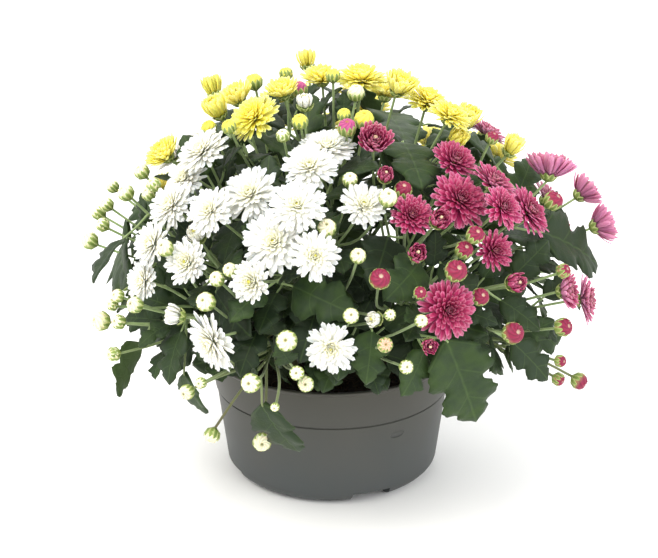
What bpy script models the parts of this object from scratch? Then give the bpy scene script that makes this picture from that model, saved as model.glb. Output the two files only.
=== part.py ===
"""Pot chrysanthemum: a white, a yellow and a magenta plant in one low plastic pot.

Metres, +Z up. The origin is the middle of the pot's base, on the surface that it stands on.
The side of the plant that faces -Y is the one that the photograph shows.
"""

import math
import random
from dataclasses import dataclass, field
from itertools import product

import bmesh
import bpy
import numpy as np
from mathutils import Matrix, Vector

UP = Vector((0, 0, 1))
TOUCH_GAP = 0.0003

# Pot: a turned plastic bowl with a wider band under the rim and four drainage arches in its foot
POT_RIM_RADIUS = 0.112
POT_HEIGHT = 0.1165
POT_WALL = 0.0020
POT_LIP = 0.0016
POT_FOOT_RADIUS = 0.0940
POT_CORNER = 0.0130
POT_BAND_HEIGHT = 0.0815
POT_BAND_STEP = 0.0014
POT_STEPS = 30
ARCH_COUNT = 4
ARCH_FIRST = math.radians(-68.5)
ARCH_HALF_WIDTH = 0.0180
ARCH_HEIGHT = 0.0110
ARCH_INNER_RADIUS = 0.0420
DRAIN_RADIUS = 0.0045
DRAIN_PLACE = 0.0680

# Soil: the filling of the pot, with a plain hole for each plant's stem
SOIL_TOP = 0.1010
SOIL_CROWN = 0.0030
SOIL_SHOULDER = 0.0180
SOIL_STEPS = 20
STEM_HOLE_DEPTH = 0.0450

# The eye that the photograph's places are read from: its pixels become sight lines
EYE_AIM = Vector((0, 0, 0.180))
EYE_DISTANCE = 1.300
EYE_RISE = math.radians(20)
EYE_FOCAL_PX = 1443
EYE_MIDDLE_PX = (332, 277)

# The head of flowers: half of an ellipsoid over a flatter one that hangs below the widest line
HEAD_CENTRE = Vector((0.010, 0.000, 0.165))
HEAD_RADIUS_X = 0.228
HEAD_RADIUS_Y = 0.215
HEAD_RISE = 0.200
HEAD_SAG = 0.100

# Stems, by radius, and what they carry
STEM_RADIUS = 0.0040
BRANCH_RADIUS = 0.0023
STALK_RADIUS = 0.0011
CROWN_RISE = 0.0140
SEAT_DEPTH = 0.17
SEAT_RADIUS = 0.20

# The plants, by where they stand in the soil and how many branches they fork into
PLANTS = {
    "white": {"foot": (-0.034, -0.026), "branches": 8},
    "yellow": {"foot": (0.004, 0.040), "branches": 6},
    "magenta": {"foot": (0.040, -0.018), "branches": 7},
}

# Open blooms that the photograph shows: colour, photo x, photo y, width in mm, openness from 0 to 1,
# then degrees that the face turns to the right of the head's surface, and degrees that it lifts
OPEN_BLOOMS = (
    ("white", 275, 243, 52, 1.00, 0, 0),
    ("white", 251, 195, 49, 1.00, 0, 0),
    ("white", 310, 168, 46, 1.00, 0, 0),
    ("white", 327, 149, 46, 1.00, 0, 10),
    ("white", 297, 207, 45, 1.00, 10, 0),
    ("white", 315, 256, 38, 0.95, 10, -10),
    ("white", 363, 206, 37, 0.95, 5, 0),
    ("white", 252, 282, 32, 0.85, 0, -5),
    ("white", 188, 263, 36, 0.90, 10, 0),
    ("white", 144, 281, 34, 0.95, 0, 0),
    ("white", 153, 244, 37, 0.95, 0, 0),
    ("white", 172, 206, 44, 1.00, 0, 0),
    ("white", 211, 212, 42, 1.00, 0, 0),
    ("white", 203, 152, 48, 1.00, 0, 0),
    ("white", 186, 180, 42, 1.00, 0, 0),
    ("white", 213, 341, 50, 1.00, -20, -22),
    ("white", 331, 348, 38, 0.95, 0, 0),
    ("yellow", 255, 119, 45, 1.00, 0, -18),
    ("yellow", 238, 99, 31, 0.80, 0, 0),
    ("yellow", 166, 155, 34, 0.90, 0, 0),
    ("yellow", 283, 93, 29, 0.85, 0, 0),
    ("yellow", 322, 79, 36, 0.95, 0, 0),
    ("yellow", 362, 81, 46, 1.00, 0, 0),
    ("yellow", 398, 89, 31, 0.75, 0, -12),
    ("yellow", 427, 103, 40, 1.00, 0, 0),
    ("yellow", 449, 117, 38, 1.00, 10, 0),
    ("magenta", 374, 143, 31, 0.72, 0, -12),
    ("magenta", 411, 216, 34, 0.95, 0, 0),
    ("magenta", 454, 162, 37, 0.95, 0, 0),
    ("magenta", 459, 201, 48, 1.00, 0, 0),
    ("magenta", 502, 208, 36, 1.00, 0, 0),
    ("magenta", 493, 183, 38, 0.95, 30, 10),
    ("magenta", 527, 212, 46, 1.00, 18, 0),
    ("magenta", 493, 251, 33, 0.95, 0, -8),
    ("magenta", 549, 173, 44, 0.90, 10, 25),
    ("magenta", 581, 194, 36, 0.90, 12, 0),
    ("magenta", 597, 226, 38, 0.95, 12, 0),
    ("magenta", 447, 310, 47, 1.00, 0, 0),
    ("magenta", 564, 291, 32, 0.85, 20, 0),
    ("magenta", 583, 299, 40, 0.95, 20, 0),
)

# Half-open blooms, still cups on their stalks: colour, photo x, photo y, width in mm, openness, turn, lift
CUPS = (
    ("white", 178, 316, 24, 0.55, -50, 0),
    ("white", 198, 237, 22, 0.45, 0, 20),
    ("white", 376, 319, 17, 0.30, -45, 0),
    ("white", 305, 105, 20, 0.25, 0, 10),
    ("yellow", 219, 113, 27, 0.60, 0, 0),
    ("yellow", 214, 92, 25, 0.55, -30, 0),
    ("yellow", 307, 64, 23, 0.55, 0, 0),
    ("yellow", 465, 122, 27, 0.60, 0, 0),
    ("yellow", 455, 142, 24, 0.45, 0, -10),
    ("yellow", 510, 150, 24, 0.60, 15, 10),
    ("magenta", 438, 221, 22, 0.55, 0, 0),
    ("magenta", 385, 177, 18, 0.45, 0, 0),
    ("magenta", 417, 254, 21, 0.50, -10, 0),
    ("magenta", 513, 283, 22, 0.45, 0, 0),
    ("magenta", 429, 345, 18, 0.45, -10, 0),
)

# Buds: colour, photo x, photo y, width in mm
BUDS = (
    ("white", 165, 248, 13),
    ("white", 217, 279, 12),
    ("white", 206, 302, 15),
    ("white", 230, 270, 11),
    ("white", 327, 228, 14),
    ("white", 358, 256, 12),
    ("white", 350, 180, 12),
    ("white", 388, 198, 14),
    ("white", 351, 316, 12),
    ("white", 390, 315, 9),
    ("white", 287, 341, 16),
    ("white", 297, 373, 11),
    ("white", 306, 384, 12),
    ("white", 251, 383, 15),
    ("white", 262, 442, 15),
    ("white", 212, 435, 13),
    ("white", 187, 392, 12),
    ("white", 201, 383, 9),
    ("white", 114, 354, 12),
    ("white", 101, 321, 16),
    ("white", 119, 322, 12),
    ("white", 118, 296, 11),
    ("white", 113, 305, 10),
    ("white", 135, 305, 13),
    ("white", 90, 241, 15),
    ("white", 103, 225, 12),
    ("white", 107, 205, 12),
    ("white", 99, 213, 13),
    ("white", 113, 187, 11),
    ("white", 126, 193, 14),
    ("white", 142, 172, 13),
    ("white", 154, 185, 12),
    ("white", 149, 194, 12),
    ("white", 406, 367, 11),
    ("white", 385, 345, 12),
    ("white", 421, 321, 10),
    ("white", 275, 407, 7),
    ("white", 356, 93, 14),
    ("yellow", 254, 82, 15),
    ("yellow", 286, 74, 12),
    ("yellow", 333, 76, 12),
    ("yellow", 209, 128, 13),
    ("yellow", 229, 127, 12),
    ("yellow", 364, 120, 16),
    ("yellow", 344, 115, 11),
    ("yellow", 300, 122, 13),
    ("yellow", 299, 90, 15),
    ("yellow", 347, 128, 15),
    ("white", 283, 136, 11),
    ("magenta", 403, 190, 14),
    ("magenta", 380, 279, 16),
    ("magenta", 456, 271, 17),
    ("magenta", 464, 250, 14),
    ("magenta", 475, 235, 14),
    ("magenta", 513, 333, 17),
    ("magenta", 563, 271, 12),
    ("magenta", 563, 327, 15),
    ("magenta", 553, 201, 16),
    ("magenta", 492, 138, 11),
    ("magenta", 420, 293, 10),
    ("magenta", 480, 297, 14),
    ("magenta", 579, 381, 14),
    ("magenta", 558, 379, 11),
    ("magenta", 560, 361, 10),
)
SMALLEST_SOLID_BUD = 0.0125
PLACING_STEP = 0.002
PLACING_STEPS = 20
BLOOM_GAP = 0.0014
STEM_GAP = 0.0004
STALK_BENDS = ((0.0, 0.0), (0.15, 0.0), (-0.15, 0.0), (0.0, 0.25), (0.35, 0.0), (-0.35, 0.0), (0.2, 0.4))
JOINT_SHARE = 0.35

# Large leaves that the photograph shows: colour, photo x and y of the blade's base, then of its tip,
# and how deep in the head the base and the tip lie, as shares of its radius
SEEN_LEAVES = (
    ("white", 124, 238, 92, 282, 0.93, 1.03),
    ("white", 126, 240, 129, 282, 0.90, 0.98),
    ("white", 140, 342, 117, 396, 0.90, 1.02),
    ("white", 182, 330, 168, 384, 0.84, 0.97),
    ("white", 240, 220, 224, 264, 0.84, 0.92),
    ("white", 216, 292, 250, 336, 0.84, 0.96),
    ("white", 292, 286, 354, 314, 0.84, 0.95),
    ("white", 258, 330, 240, 376, 0.80, 0.92),
    ("white", 262, 404, 300, 452, 0.92, 1.02),
    ("white", 184, 372, 206, 414, 0.94, 1.04),
    ("white", 320, 300, 300, 362, 0.78, 0.90),
    ("white", 372, 330, 366, 384, 0.84, 0.94),
    ("magenta", 402, 142, 422, 188, 0.82, 0.90),
    ("magenta", 388, 236, 372, 288, 0.78, 0.88),
    ("yellow", 384, 112, 408, 148, 0.84, 0.92),
    ("white", 344, 330, 338, 380, 0.80, 0.90),
    ("magenta", 496, 166, 464, 134, 0.90, 0.97),
    ("magenta", 540, 232, 598, 266, 0.88, 1.00),
    ("magenta", 446, 340, 476, 422, 0.86, 1.02),
    ("magenta", 512, 342, 548, 380, 0.88, 1.00),
    ("magenta", 420, 262, 386, 300, 0.82, 0.92),
    ("magenta", 424, 350, 402, 396, 0.84, 0.94),
    ("magenta", 500, 300, 540, 330, 0.80, 0.92),
    ("magenta", 440, 262, 478, 300, 0.80, 0.88),
    ("yellow", 428, 124, 474, 150, 0.88, 0.96),
    ("yellow", 344, 118, 344, 92, 0.90, 1.00),
)

# The leaf: half of its outline, as shares of its length along and across, from the base to the tip
LEAF_OUTLINE = (
    (0.00, 0.02),
    (0.16, 0.30),
    (0.37, 0.35),
    (0.44, 0.16),
    (0.66, 0.31),
    (0.76, 0.13),
)
LEAF_HUB = 0.45
LEAF_THICKNESS = 0.0009
LEAF_FOLD = 0.30
LEAF_DROOP = 0.22
LEAF_STALK = 0.0150
LEAF_STALK_WIDTH = 0.0018
LEAF_SINK = 0.0009
FILL_LEAVES = 18

# The far side of the head, which the photograph hides: pairs of blooms that grow into each other
BACK_PAIRS = 12
BACK_BUDS = 6
BACK_SEED = 11
BACK_SHARE = 0.91
GOLDEN_ANGLE = math.pi * (3 - math.sqrt(5))


@dataclass
class Flower:
    """A bloom, cup or bud: its place, the way it faces, and the node that it belongs to."""

    name: str
    colour: str
    kind: str
    centre: Vector
    axis: Vector
    radius: float
    openness: float
    key: str

    def left_to_the_fine_model(self):
        """Whether this is a bud too small to have a solid of its own."""
        return self.kind == "bud" and self.radius < SMALLEST_SOLID_BUD / 2

    def seat(self):
        """Where the stalk's flared end meets the flower."""
        depth = SEAT_DEPTH * self.radius if self.kind != "bud" else self.radius
        return self.centre - self.axis * depth


@dataclass
class Stem:
    """A round stem along a smooth line of points."""

    name: str
    colour: str
    points: list
    radius: float
    end_radius: float
    flower: object = None

    def along(self, share):
        """The place at a share of the stem's length, and the direction in which it grows there."""
        spans = len(self.points) - 1
        index = min(int(share * spans), spans - 1)
        first, second = self.points[index], self.points[index + 1]
        return first.lerp(second, share * spans - index), (second - first).normalized()


@dataclass
class Leaf:
    """A blade with its own short stalk: base, direction along the rib, upper side and length."""

    stem: object
    root: Vector
    base: Vector
    along: Vector
    upper: Vector
    length: float
    side: Vector = field(init=False)

    def __post_init__(self):
        self.upper = (self.upper - self.along * self.upper.dot(self.along)).normalized()
        self.side = self.along.cross(self.upper)

    def point(self, along, across, raised=0.0):
        """A place on the blade, from shares of its length, arched along the rib and folded up from it."""
        lift = LEAF_FOLD * abs(across) - LEAF_DROOP * along * along
        flat = self.along * along + self.side * across + self.upper * lift
        return self.base + flat * self.length + self.upper * raised


def sight_line(x, y):
    """The eye's place and the direction in which it sees a pixel of the photograph."""
    forward = Vector((0, math.cos(EYE_RISE), -math.sin(EYE_RISE)))
    upward = Vector((0, math.sin(EYE_RISE), math.cos(EYE_RISE)))
    eye = EYE_AIM - forward * EYE_DISTANCE
    right = (x - EYE_MIDDLE_PX[0]) / EYE_FOCAL_PX
    down = (y - EYE_MIDDLE_PX[1]) / EYE_FOCAL_PX
    return eye, (forward + Vector((right, 0, 0)) - upward * down).normalized()


def head_share(place):
    """How far out a place lies, as a share of the head's radius in its direction."""
    out = place - HEAD_CENTRE
    tall = HEAD_RISE if out.z > 0 else HEAD_SAG
    return math.sqrt((out.x / HEAD_RADIUS_X) ** 2 + (out.y / HEAD_RADIUS_Y) ** 2 + (out.z / tall) ** 2)


def head_normal(place):
    """The outward direction of the head's surface through a place."""
    out = place - HEAD_CENTRE
    tall = HEAD_RISE if out.z > 0 else HEAD_SAG
    return Vector((out.x / HEAD_RADIUS_X**2, out.y / HEAD_RADIUS_Y**2, out.z / tall**2)).normalized()


def seen_place(x, y, share=1.0):
    """Where a pixel's sight line first meets the head at that share of its radius, or passes closest to it."""
    eye, direction = sight_line(x, y)
    step = 0.002
    best = None
    for count in range(420):
        place = eye + direction * (EYE_DISTANCE - 0.42 + step * count)
        found = head_share(place)
        if best is None or found < best[0]:
            best = (found, place)
        if found <= share:
            break
    return best[1]


def turned(axis, right_degrees, lift_degrees):
    """An outward direction, turned to the right as the eye sees it, then lifted."""
    axis = Matrix.Rotation(math.radians(right_degrees), 3, "Z") @ axis
    level = axis.cross(UP)
    if level.length < 1e-3:
        return axis
    return (Matrix.Rotation(math.radians(lift_degrees), 3, level.normalized()) @ axis).normalized()


def curve_points(controls, count):
    """Points along a Bezier curve through the first and last of its controls."""
    found = []
    for index in range(count):
        share = index / (count - 1)
        level = [c.copy() for c in controls]
        while len(level) > 1:
            level = [a.lerp(b, share) for a, b in zip(level, level[1:])]
        found.append(level[0])
    return found


class Room:
    """What is already taken, as beads: a piece is free where none of its beads touches another's."""

    def __init__(self):
        self.places = np.zeros((0, 3))
        self.radii = np.zeros(0)
        self.owners = np.zeros(0, int)
        self.names = []

    def number(self, owner):
        if owner not in self.names:
            self.names.append(owner)
        return self.names.index(owner)

    def add(self, beads, owner):
        places, radii = beads
        self.places = np.vstack([self.places, places])
        self.radii = np.concatenate([self.radii, radii])
        self.owners = np.concatenate([self.owners, np.full(len(radii), self.number(owner))])

    def drop(self, owner):
        keep = self.owners != self.number(owner)
        self.places, self.radii, self.owners = self.places[keep], self.radii[keep], self.owners[keep]

    def stems_of(self, colour):
        """The owner names of one plant's stems."""
        return [name for name in self.names if name.startswith(f"{colour} ")]

    def clash(self, beads, ignored=()):
        """The deepest overlap of these beads with those of other owners, below zero where all are clear."""
        places, radii = beads
        near = (self.places > places.min(axis=0) - 0.020) & (self.places < places.max(axis=0) + 0.020)
        keep = near.all(axis=1) & ~np.isin(self.owners, [self.number(owner) for owner in ignored])
        if not keep.any():
            return -1.0
        apart = np.linalg.norm(places[:, None] - self.places[keep][None], axis=2)
        return float((radii[:, None] + self.radii[keep][None] - apart).max())


def pot_clash(beads):
    """How far beads reach into the pot's wall or the soil, below zero where they are clear."""
    places, radii = beads
    across = np.hypot(places[:, 0], places[:, 1])
    over_soil = np.where(across < POT_RIM_RADIUS, SOIL_TOP + SOIL_CROWN + radii - places[:, 2], -1.0)
    over_rim = POT_HEIGHT + radii - places[:, 2]
    into_rim = radii - np.abs(across - POT_RIM_RADIUS) + POT_WALL
    return float(max(over_soil.max(), np.minimum(over_rim, into_rim).max()))


def beads_of(points, radii):
    return np.array([tuple(p) for p in points]), np.array(radii, float)


def flower_beads(flower):
    """A flower as beads: a ball for a bud, or rings that follow its outer petals round a filled middle."""
    radius = flower.radius
    if flower.kind == "bud":
        return beads_of([flower.centre], [radius * 1.05])
    across = flower.axis.orthogonal().normalized()
    _, length, foot, height, rise = bloom_tiers(flower)[0]
    angle = math.radians(rise)
    middle = 0.10 + 0.30 * (1 - flower.openness)
    points, radii = [flower.centre + flower.axis * middle * radius], [0.26 * radius]
    for share, size, raised, count in ((0.20, 0.21, 0.18, 7), (0.50, 0.17, 0.16, 14), (0.82, 0.15, 0.05, 22)):
        out = foot + length * share * math.cos(angle)
        up = height + length * share * math.sin(angle) + raised
        for index in range(count):
            turn = Matrix.Rotation(index * 2 * math.pi / count, 3, flower.axis)
            points.append(flower.centre + (turn @ across * out + flower.axis * up) * radius)
            radii.append(size * radius)
    for depth in (0.34, 0.54, 0.74):
        points.append(flower.centre - flower.axis * depth * radius)
        radii.append(0.12 * radius)
    return beads_of(points, radii)


def stem_beads(stem):
    """Beads every few millimetres along a stem, leaving out the end that meets its flower."""
    points, radii = [], []
    last = len(stem.points) - 1
    for index, (a, b) in enumerate(zip(stem.points, stem.points[1:])):
        count = max(1, int((b - a).length / 0.004))
        for step in range(count):
            share = (index + step / count) / last
            points.append(a.lerp(b, step / count))
            radii.append(stem.radius + (stem.end_radius - stem.radius) * share + 0.0006)
    return beads_of(points, radii)


def leaf_width(along):
    """Half of the blade's width at a share of its length, both as shares of the length."""
    marks = LEAF_OUTLINE + ((1.0, 0.0),)
    return float(np.interp(along, [mark[0] for mark in marks], [mark[1] for mark in marks]))


def leaf_beads(leaf):
    """Beads all over a blade, out to its lobes, and along its stalk."""
    points = [leaf.root.lerp(leaf.base, share) for share in (0.4, 0.6, 0.8, 1.0)]
    radii = [0.0016] * len(points)
    for row in range(13):
        along = 0.02 + 0.08 * row
        width = leaf_width(along)
        steps = int(width / 0.08)
        for across in {0.08 * step for step in range(-steps, steps + 1)} | {width * 0.94, -width * 0.94}:
            points.append(leaf.point(along, across))
            radii.append(0.050 * leaf.length)
    return beads_of(points, radii)


def place_clear(flower, room):
    """Moves a flower along its sight line until it stands clear of the others, or else makes it smaller."""
    eye, _ = sight_line(*EYE_MIDDLE_PX)
    start = flower.centre
    sight = (start - eye).normalized()
    for _ in range(4):
        for count in range(PLACING_STEPS):
            for sign in ((0,) if count == 0 else (1, -1)):
                flower.centre = start - sight * sign * count * PLACING_STEP
                if room.clash(flower_beads(flower)) < -BLOOM_GAP:
                    return
        flower.radius *= 0.93
    flower.centre = start


def settle(flowers, room):
    """Places flowers, the widest first, each clear of those before it."""
    for flower in sorted(flowers, key=lambda f: -f.radius):
        place_clear(flower, room)
        room.add(flower_beads(flower), flower.key)


def read_flowers():
    """The flowers of the photograph, each on its sight line."""
    flowers = []
    counts = {colour: 0 for colour in PLANTS}
    for colour, x, y, width, openness, right, lift in OPEN_BLOOMS:
        counts[colour] += 1
        place = seen_place(x, y)
        axis = turned(head_normal(place), right, lift)
        name = f"{colour}_bloom_{counts[colour]:02d}"
        flowers.append(Flower(name, colour, "bloom", place, axis, width / 2000, openness, f"flower {x} {y}"))
    for colour, x, y, width, openness, right, lift in CUPS:
        place = seen_place(x, y)
        axis = turned(head_normal(place), right, lift)
        name = f"{colour}_plant"
        flowers.append(Flower(name, colour, "cup", place, axis, width / 2000, openness, f"flower {x} {y}"))
    for colour, x, y, width in BUDS:
        place = seen_place(x, y, 1.02)
        axis = (head_normal(place) + UP * 0.3).normalized()
        flowers.append(Flower(f"{colour}_plant", colour, "bud", place, axis, width / 2000, 0, f"flower {x} {y}"))
    return flowers, counts


def back_colour(place):
    """The colour that grows in a direction from the pot's middle."""
    bearing = math.degrees(math.atan2(place.y, place.x))
    if 28 < bearing < 150:
        return "yellow"
    return "magenta" if abs(bearing) < 90 else "white"


def back_place(index, total):
    """A place on the far side of the head, on a spiral that spreads evenly from its top to its hem."""
    level = 1 - (index + 0.5) / total * 1.25
    tall = HEAD_RISE if level > 0 else HEAD_SAG
    ring = math.sqrt(max(0.0, 1 - level * level))
    bearing = index * GOLDEN_ANGLE
    across = Vector((HEAD_RADIUS_X * math.cos(bearing), HEAD_RADIUS_Y * math.sin(bearing), 0)) * ring
    return HEAD_CENTRE + (across + UP * tall * level) * BACK_SHARE


def hidden_places(total, least):
    """Places on the far side, whose outward direction turns away from the eye by at least that much."""
    eye, _ = sight_line(*EYE_MIDDLE_PX)
    places = [back_place(index, total) for index in range(total)]
    return [p for p in places if head_normal(p).dot((eye - p).normalized()) < -least]


def back_pairs(counts, room):
    """Pairs of blooms that grow into each other, wherever one fits on the far side."""
    draw = random.Random(BACK_SEED)
    pairs = []
    for place in hidden_places(150, 0.12):
        colour = back_colour(place)
        normal = head_normal(place)
        radius = draw.uniform(0.0195, 0.0235)
        swing = Matrix.Rotation(draw.uniform(0, math.pi), 3, normal) @ normal.orthogonal().normalized()
        name = f"{colour}_bloom_{counts[colour] + 1:02d}"
        pair = []
        for side, size in ((-1, 1.0), (1, draw.uniform(0.82, 0.95))):
            spot = place + swing * side * radius * 0.66
            axis = (head_normal(spot) + UP * 0.1).normalized()
            pair.append(Flower(name, colour, "bloom", spot, axis, radius * size, 0.97, f"flower {name} {side}"))
        if max(room.clash(flower_beads(f)) for f in pair) < -BLOOM_GAP:
            for flower in pair:
                room.add(flower_beads(flower), flower.key)
            counts[colour] += 1
            pairs.append(pair)
        if len(pairs) == BACK_PAIRS:
            break
    return [flower for pair in pairs for flower in pair]


def back_buds():
    """Buds spread over the far side."""
    draw = random.Random(BACK_SEED)
    buds = []
    for place in draw.sample(hidden_places(100, 0.05), BACK_BUDS):
        colour = back_colour(place)
        key = f"flower {len(buds)} behind"
        radius = draw.uniform(0.0063, 0.0075)
        buds.append(Flower(f"{colour}_plant", colour, "bud", place, head_normal(place), radius, 0, key))
    return buds


def sprays_of(flowers, count):
    """Flowers gathered round as many centres, found from the ones that lie farthest apart."""
    ends = [f.seat() for f in flowers]
    centres = [max(ends, key=lambda p: p.z)]
    while len(centres) < count:
        centres.append(max(ends, key=lambda p: min((p - c).length for c in centres)))
    for _ in range(4):
        groups = [[] for _ in centres]
        for flower, end in zip(flowers, ends):
            nearest = min(range(len(centres)), key=lambda i: (end - centres[i]).length)
            groups[nearest].append(flower)
        centres = [
            sum((f.seat() for f in group), Vector()) / len(group) if group else centre
            for group, centre in zip(groups, centres)
        ]
    return [group for group in groups if group]


def grow_branches(colour, flowers, room):
    """A plant's main stem and its branches, with the branch and the place on it that bears each flower."""
    foot = Vector((*PLANTS[colour]["foot"], SOIL_TOP - STEM_HOLE_DEPTH))
    crown = Vector((foot.x, foot.y, SOIL_TOP + SOIL_CROWN + CROWN_RISE))
    path = [foot, foot.lerp(crown, 0.5), crown]
    stems = [Stem(f"{colour} stem", colour, path, STEM_RADIUS, STEM_RADIUS * 0.9)]
    bearers = {}
    for number, spray in enumerate(sprays_of(flowers, PLANTS[colour]["branches"])):
        branch = best_branch(f"{colour} branch {number}", colour, crown, spray, room)
        room.add(stem_beads(branch), branch.name)
        stems.append(branch)
        ranked = sorted(spray, key=lambda f: (f.seat() - branch.points[-1]).length)
        for rank, flower in enumerate(ranked):
            bearers[flower.key] = (branch, 0.98 - 0.50 * rank / len(ranked))
    return stems, bearers


def grow_stalks(flowers, bearers, room):
    """A stalk to each flower; a bud that none reaches is taken away."""
    stalks = []
    for flower in list(flowers):
        stalk = best_stalk(*bearers[flower.key], flower, room)
        if stalk:
            stalks.append(stalk)
            room.add(stem_beads(stalk), stalk.name)
        else:
            flowers.remove(flower)
            room.drop(flower.key)
    return stalks


def best_branch(name, colour, crown, spray, room):
    """The branch from a plant's crown towards a spray of flowers that keeps clearest of other plants."""
    middle = sum((f.seat() for f in spray), Vector()) / len(spray)
    reach = (middle - crown).length
    across = (middle - crown).cross(UP).normalized()
    found = []
    for rise, swing, length in product((0.20, 0.10, 0.32, 0.02), (0.0, 0.12, -0.12, 0.25, -0.25), (0.62, 0.54)):
        bend = crown.lerp(middle, 0.22) + (UP * rise + across * swing) * reach
        path = curve_points([crown - UP * 0.004, bend, crown.lerp(middle, length)], 5)
        stem = Stem(name, colour, path, BRANCH_RADIUS, STALK_RADIUS * 1.3)
        found.append((room.clash(stem_beads(stem), room.stems_of(colour)), stem))
        if found[-1][0] < -STEM_GAP:
            return stem
    return min(found, key=lambda pair: pair[0])[1]


def best_stalk(branch, share, flower, room):
    """The stalk from a branch to a flower that keeps clearest of the pot and of other pieces."""
    gap = TOUCH_GAP if flower.kind == "bloom" else -0.12 * flower.radius
    end = flower.seat() - flower.axis * gap
    name = f"{branch.name} share {share:.3f}"
    best = None
    for nearer, bend, neck in product((0.0, -0.12, -0.25, 0.10), STALK_BENDS, (0.30, 0.18, 0.45, 0.62)):
        start, growth = branch.along(min(max(share + nearer, 0.2), 0.98))
        reach = (end - start).length
        toward = (end - start).normalized()
        inward = -head_normal(end)
        leave = growth * 0.10 + toward * 0.20 + UP * bend[0] + inward * bend[1]
        controls = [start, start + leave * reach, end - flower.axis * neck * reach, end]
        path = curve_points(controls, 2 if reach < 0.025 else 3 if reach < 0.075 else 4)
        stem = Stem(name, branch.colour, path, STALK_RADIUS * 1.15, STALK_RADIUS, flower)
        beads = stem_beads(stem)
        free = (beads[0][3:], beads[1][3:]) if len(beads[1]) > 4 else beads
        others = room.clash(beads, room.stems_of(branch.colour) + [flower.key])
        clash = max(others, room.clash(free, (branch.name, flower.key)), pot_clash(beads))
        if best is None or clash < best[0]:
            best = (clash, stem)
        if clash < -STEM_GAP:
            break
    return best[1] if best[0] < -STEM_GAP or flower.kind != "bud" else None


def leaf_is_clear(leaf, room, ignored):
    """Whether a leaf stands clear of the pot and of every piece but those ignored."""
    beads = leaf_beads(leaf)
    return max(room.clash(beads, ignored), pot_clash(beads)) < 0


def seen_leaf(facts, stems, room):
    """One of the photograph's leaves, moved along its sight line to where it is clear, or else None."""
    colour, x0, y0, x1, y1, base_share, tip_share = facts
    own = [stem for stem in stems if stem.colour == colour]
    bearing = [stem for stem in own if not (stem.flower and stem.flower.left_to_the_fine_model())]
    for strict in (True, False):
        for deeper in (0.0, 0.03, -0.03, 0.06, -0.06, 0.10, 0.15, 0.20, 0.26):
            base = seen_place(x0, y0, base_share - deeper)
            tip = seen_place(x1, y1, tip_share - deeper)
            stem, root = nearest_root(base, tip, bearing)
            leaf = leaf_between(stem, root, base, tip, head_normal(base.lerp(tip, 0.5)))
            ignored = [stem.name] if strict else [other.name for other in own]
            if leaf_is_clear(leaf, room, ignored):
                return leaf
    return None


def grow_leaves(stems, room):
    """The photograph's large leaves, then more of them along the branches wherever one fits."""
    leaves = []
    for facts in SEEN_LEAVES:
        leaf = seen_leaf(facts, stems, room)
        if leaf:
            room.add(leaf_beads(leaf), f"leaf {len(leaves)}")
            leaves.append(leaf)
    draw = random.Random(BACK_SEED)
    branches = [stem for stem in stems if "branch" in stem.name and stem.flower is None]
    seen = len(leaves)
    turn = 0
    for size in (0.066, 0.056, 0.047):
        for share in (0.80, 0.55, 0.68, 0.42, 0.92):
            for stem in branches:
                turn += 1
                if len(leaves) - seen == FILL_LEAVES:
                    return leaves
                leaf = fill_leaf(stem, share, turn, size * draw.uniform(0.92, 1.08))
                if head_share(leaf.point(1.0, 0.0)) < 1.0 and leaf_is_clear(leaf, room, [stem.name]):
                    room.add(leaf_beads(leaf), f"leaf {len(leaves)}")
                    leaves.append(leaf)
    return leaves


def lay_out():
    """The places of all flowers, stems and leaves, each clear of the rest."""
    room = Room()
    flowers, counts = read_flowers()
    blooms = [f for f in flowers if f.kind != "bud"]
    buds = [f for f in flowers if f.kind == "bud"] + back_buds()
    settle(blooms, room)
    blooms += back_pairs(counts, room)
    stems, bearers = [], {}
    for colour in PLANTS:
        grown, borne = grow_branches(colour, [f for f in blooms + buds if f.colour == colour], room)
        stems += grown
        bearers.update(borne)
    stems += grow_stalks(blooms, bearers, room)
    settle(buds, room)
    stems += grow_stalks(buds, bearers, room)
    return blooms + buds, stems, grow_leaves(stems, room)


def leaf_between(stem, root, base, tip, upper):
    """A leaf whose arched rib runs from one place to another."""
    chord = tip - base
    angle = math.atan(LEAF_DROOP)
    upper = (upper - chord * (upper.dot(chord) / chord.length_squared)).normalized()
    along = (chord.normalized() * math.cos(angle) + upper * math.sin(angle)).normalized()
    return Leaf(stem, root, base, along, upper, chord.length * math.cos(angle))


def nearest_root(base, tip, stems):
    """The stem and the place on it where a leaf's stalk springs from: near the blade's base, behind it."""
    best = None
    for stem in stems:
        for share in (0.15, 0.35, 0.55, 0.75):
            place, _ = stem.along(share)
            score = (base - place).length
            if (base - place).dot(tip - base) < 0:
                score *= 2.0
            if head_share(place) > head_share(base):
                score *= 1.5
            if place.z > SOIL_TOP + SOIL_CROWN + 0.006 and (best is None or score < best[0]):
                best = (score, stem, place)
    return best[1:]


def fill_leaf(stem, share, turn, length):
    """A leaf on a branch, set round it by the golden angle and leaning outwards."""
    root, growth = stem.along(share)
    around = Matrix.Rotation(turn * GOLDEN_ANGLE, 3, growth) @ growth.orthogonal().normalized()
    outward = head_normal(root)
    along = (around * 0.9 + growth * 0.5 + outward * 0.6).normalized()
    upper = (outward + UP * 0.6 - along * 0.4).normalized()
    return Leaf(stem, root, root + along * LEAF_STALK, along, upper, length)


def clear_scene():
    for found in list(bpy.data.objects):
        bpy.data.objects.remove(found, do_unlink=True)


def material(name, colour, roughness):
    made = bpy.data.materials.new(name)
    made.use_nodes = True
    shader = made.node_tree.nodes["Principled BSDF"]
    shader.inputs["Base Color"].default_value = (*colour, 1)
    shader.inputs["Roughness"].default_value = roughness
    shader.inputs["Metallic"].default_value = 0.0
    made.diffuse_color = (*colour, 1)
    return made


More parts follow.
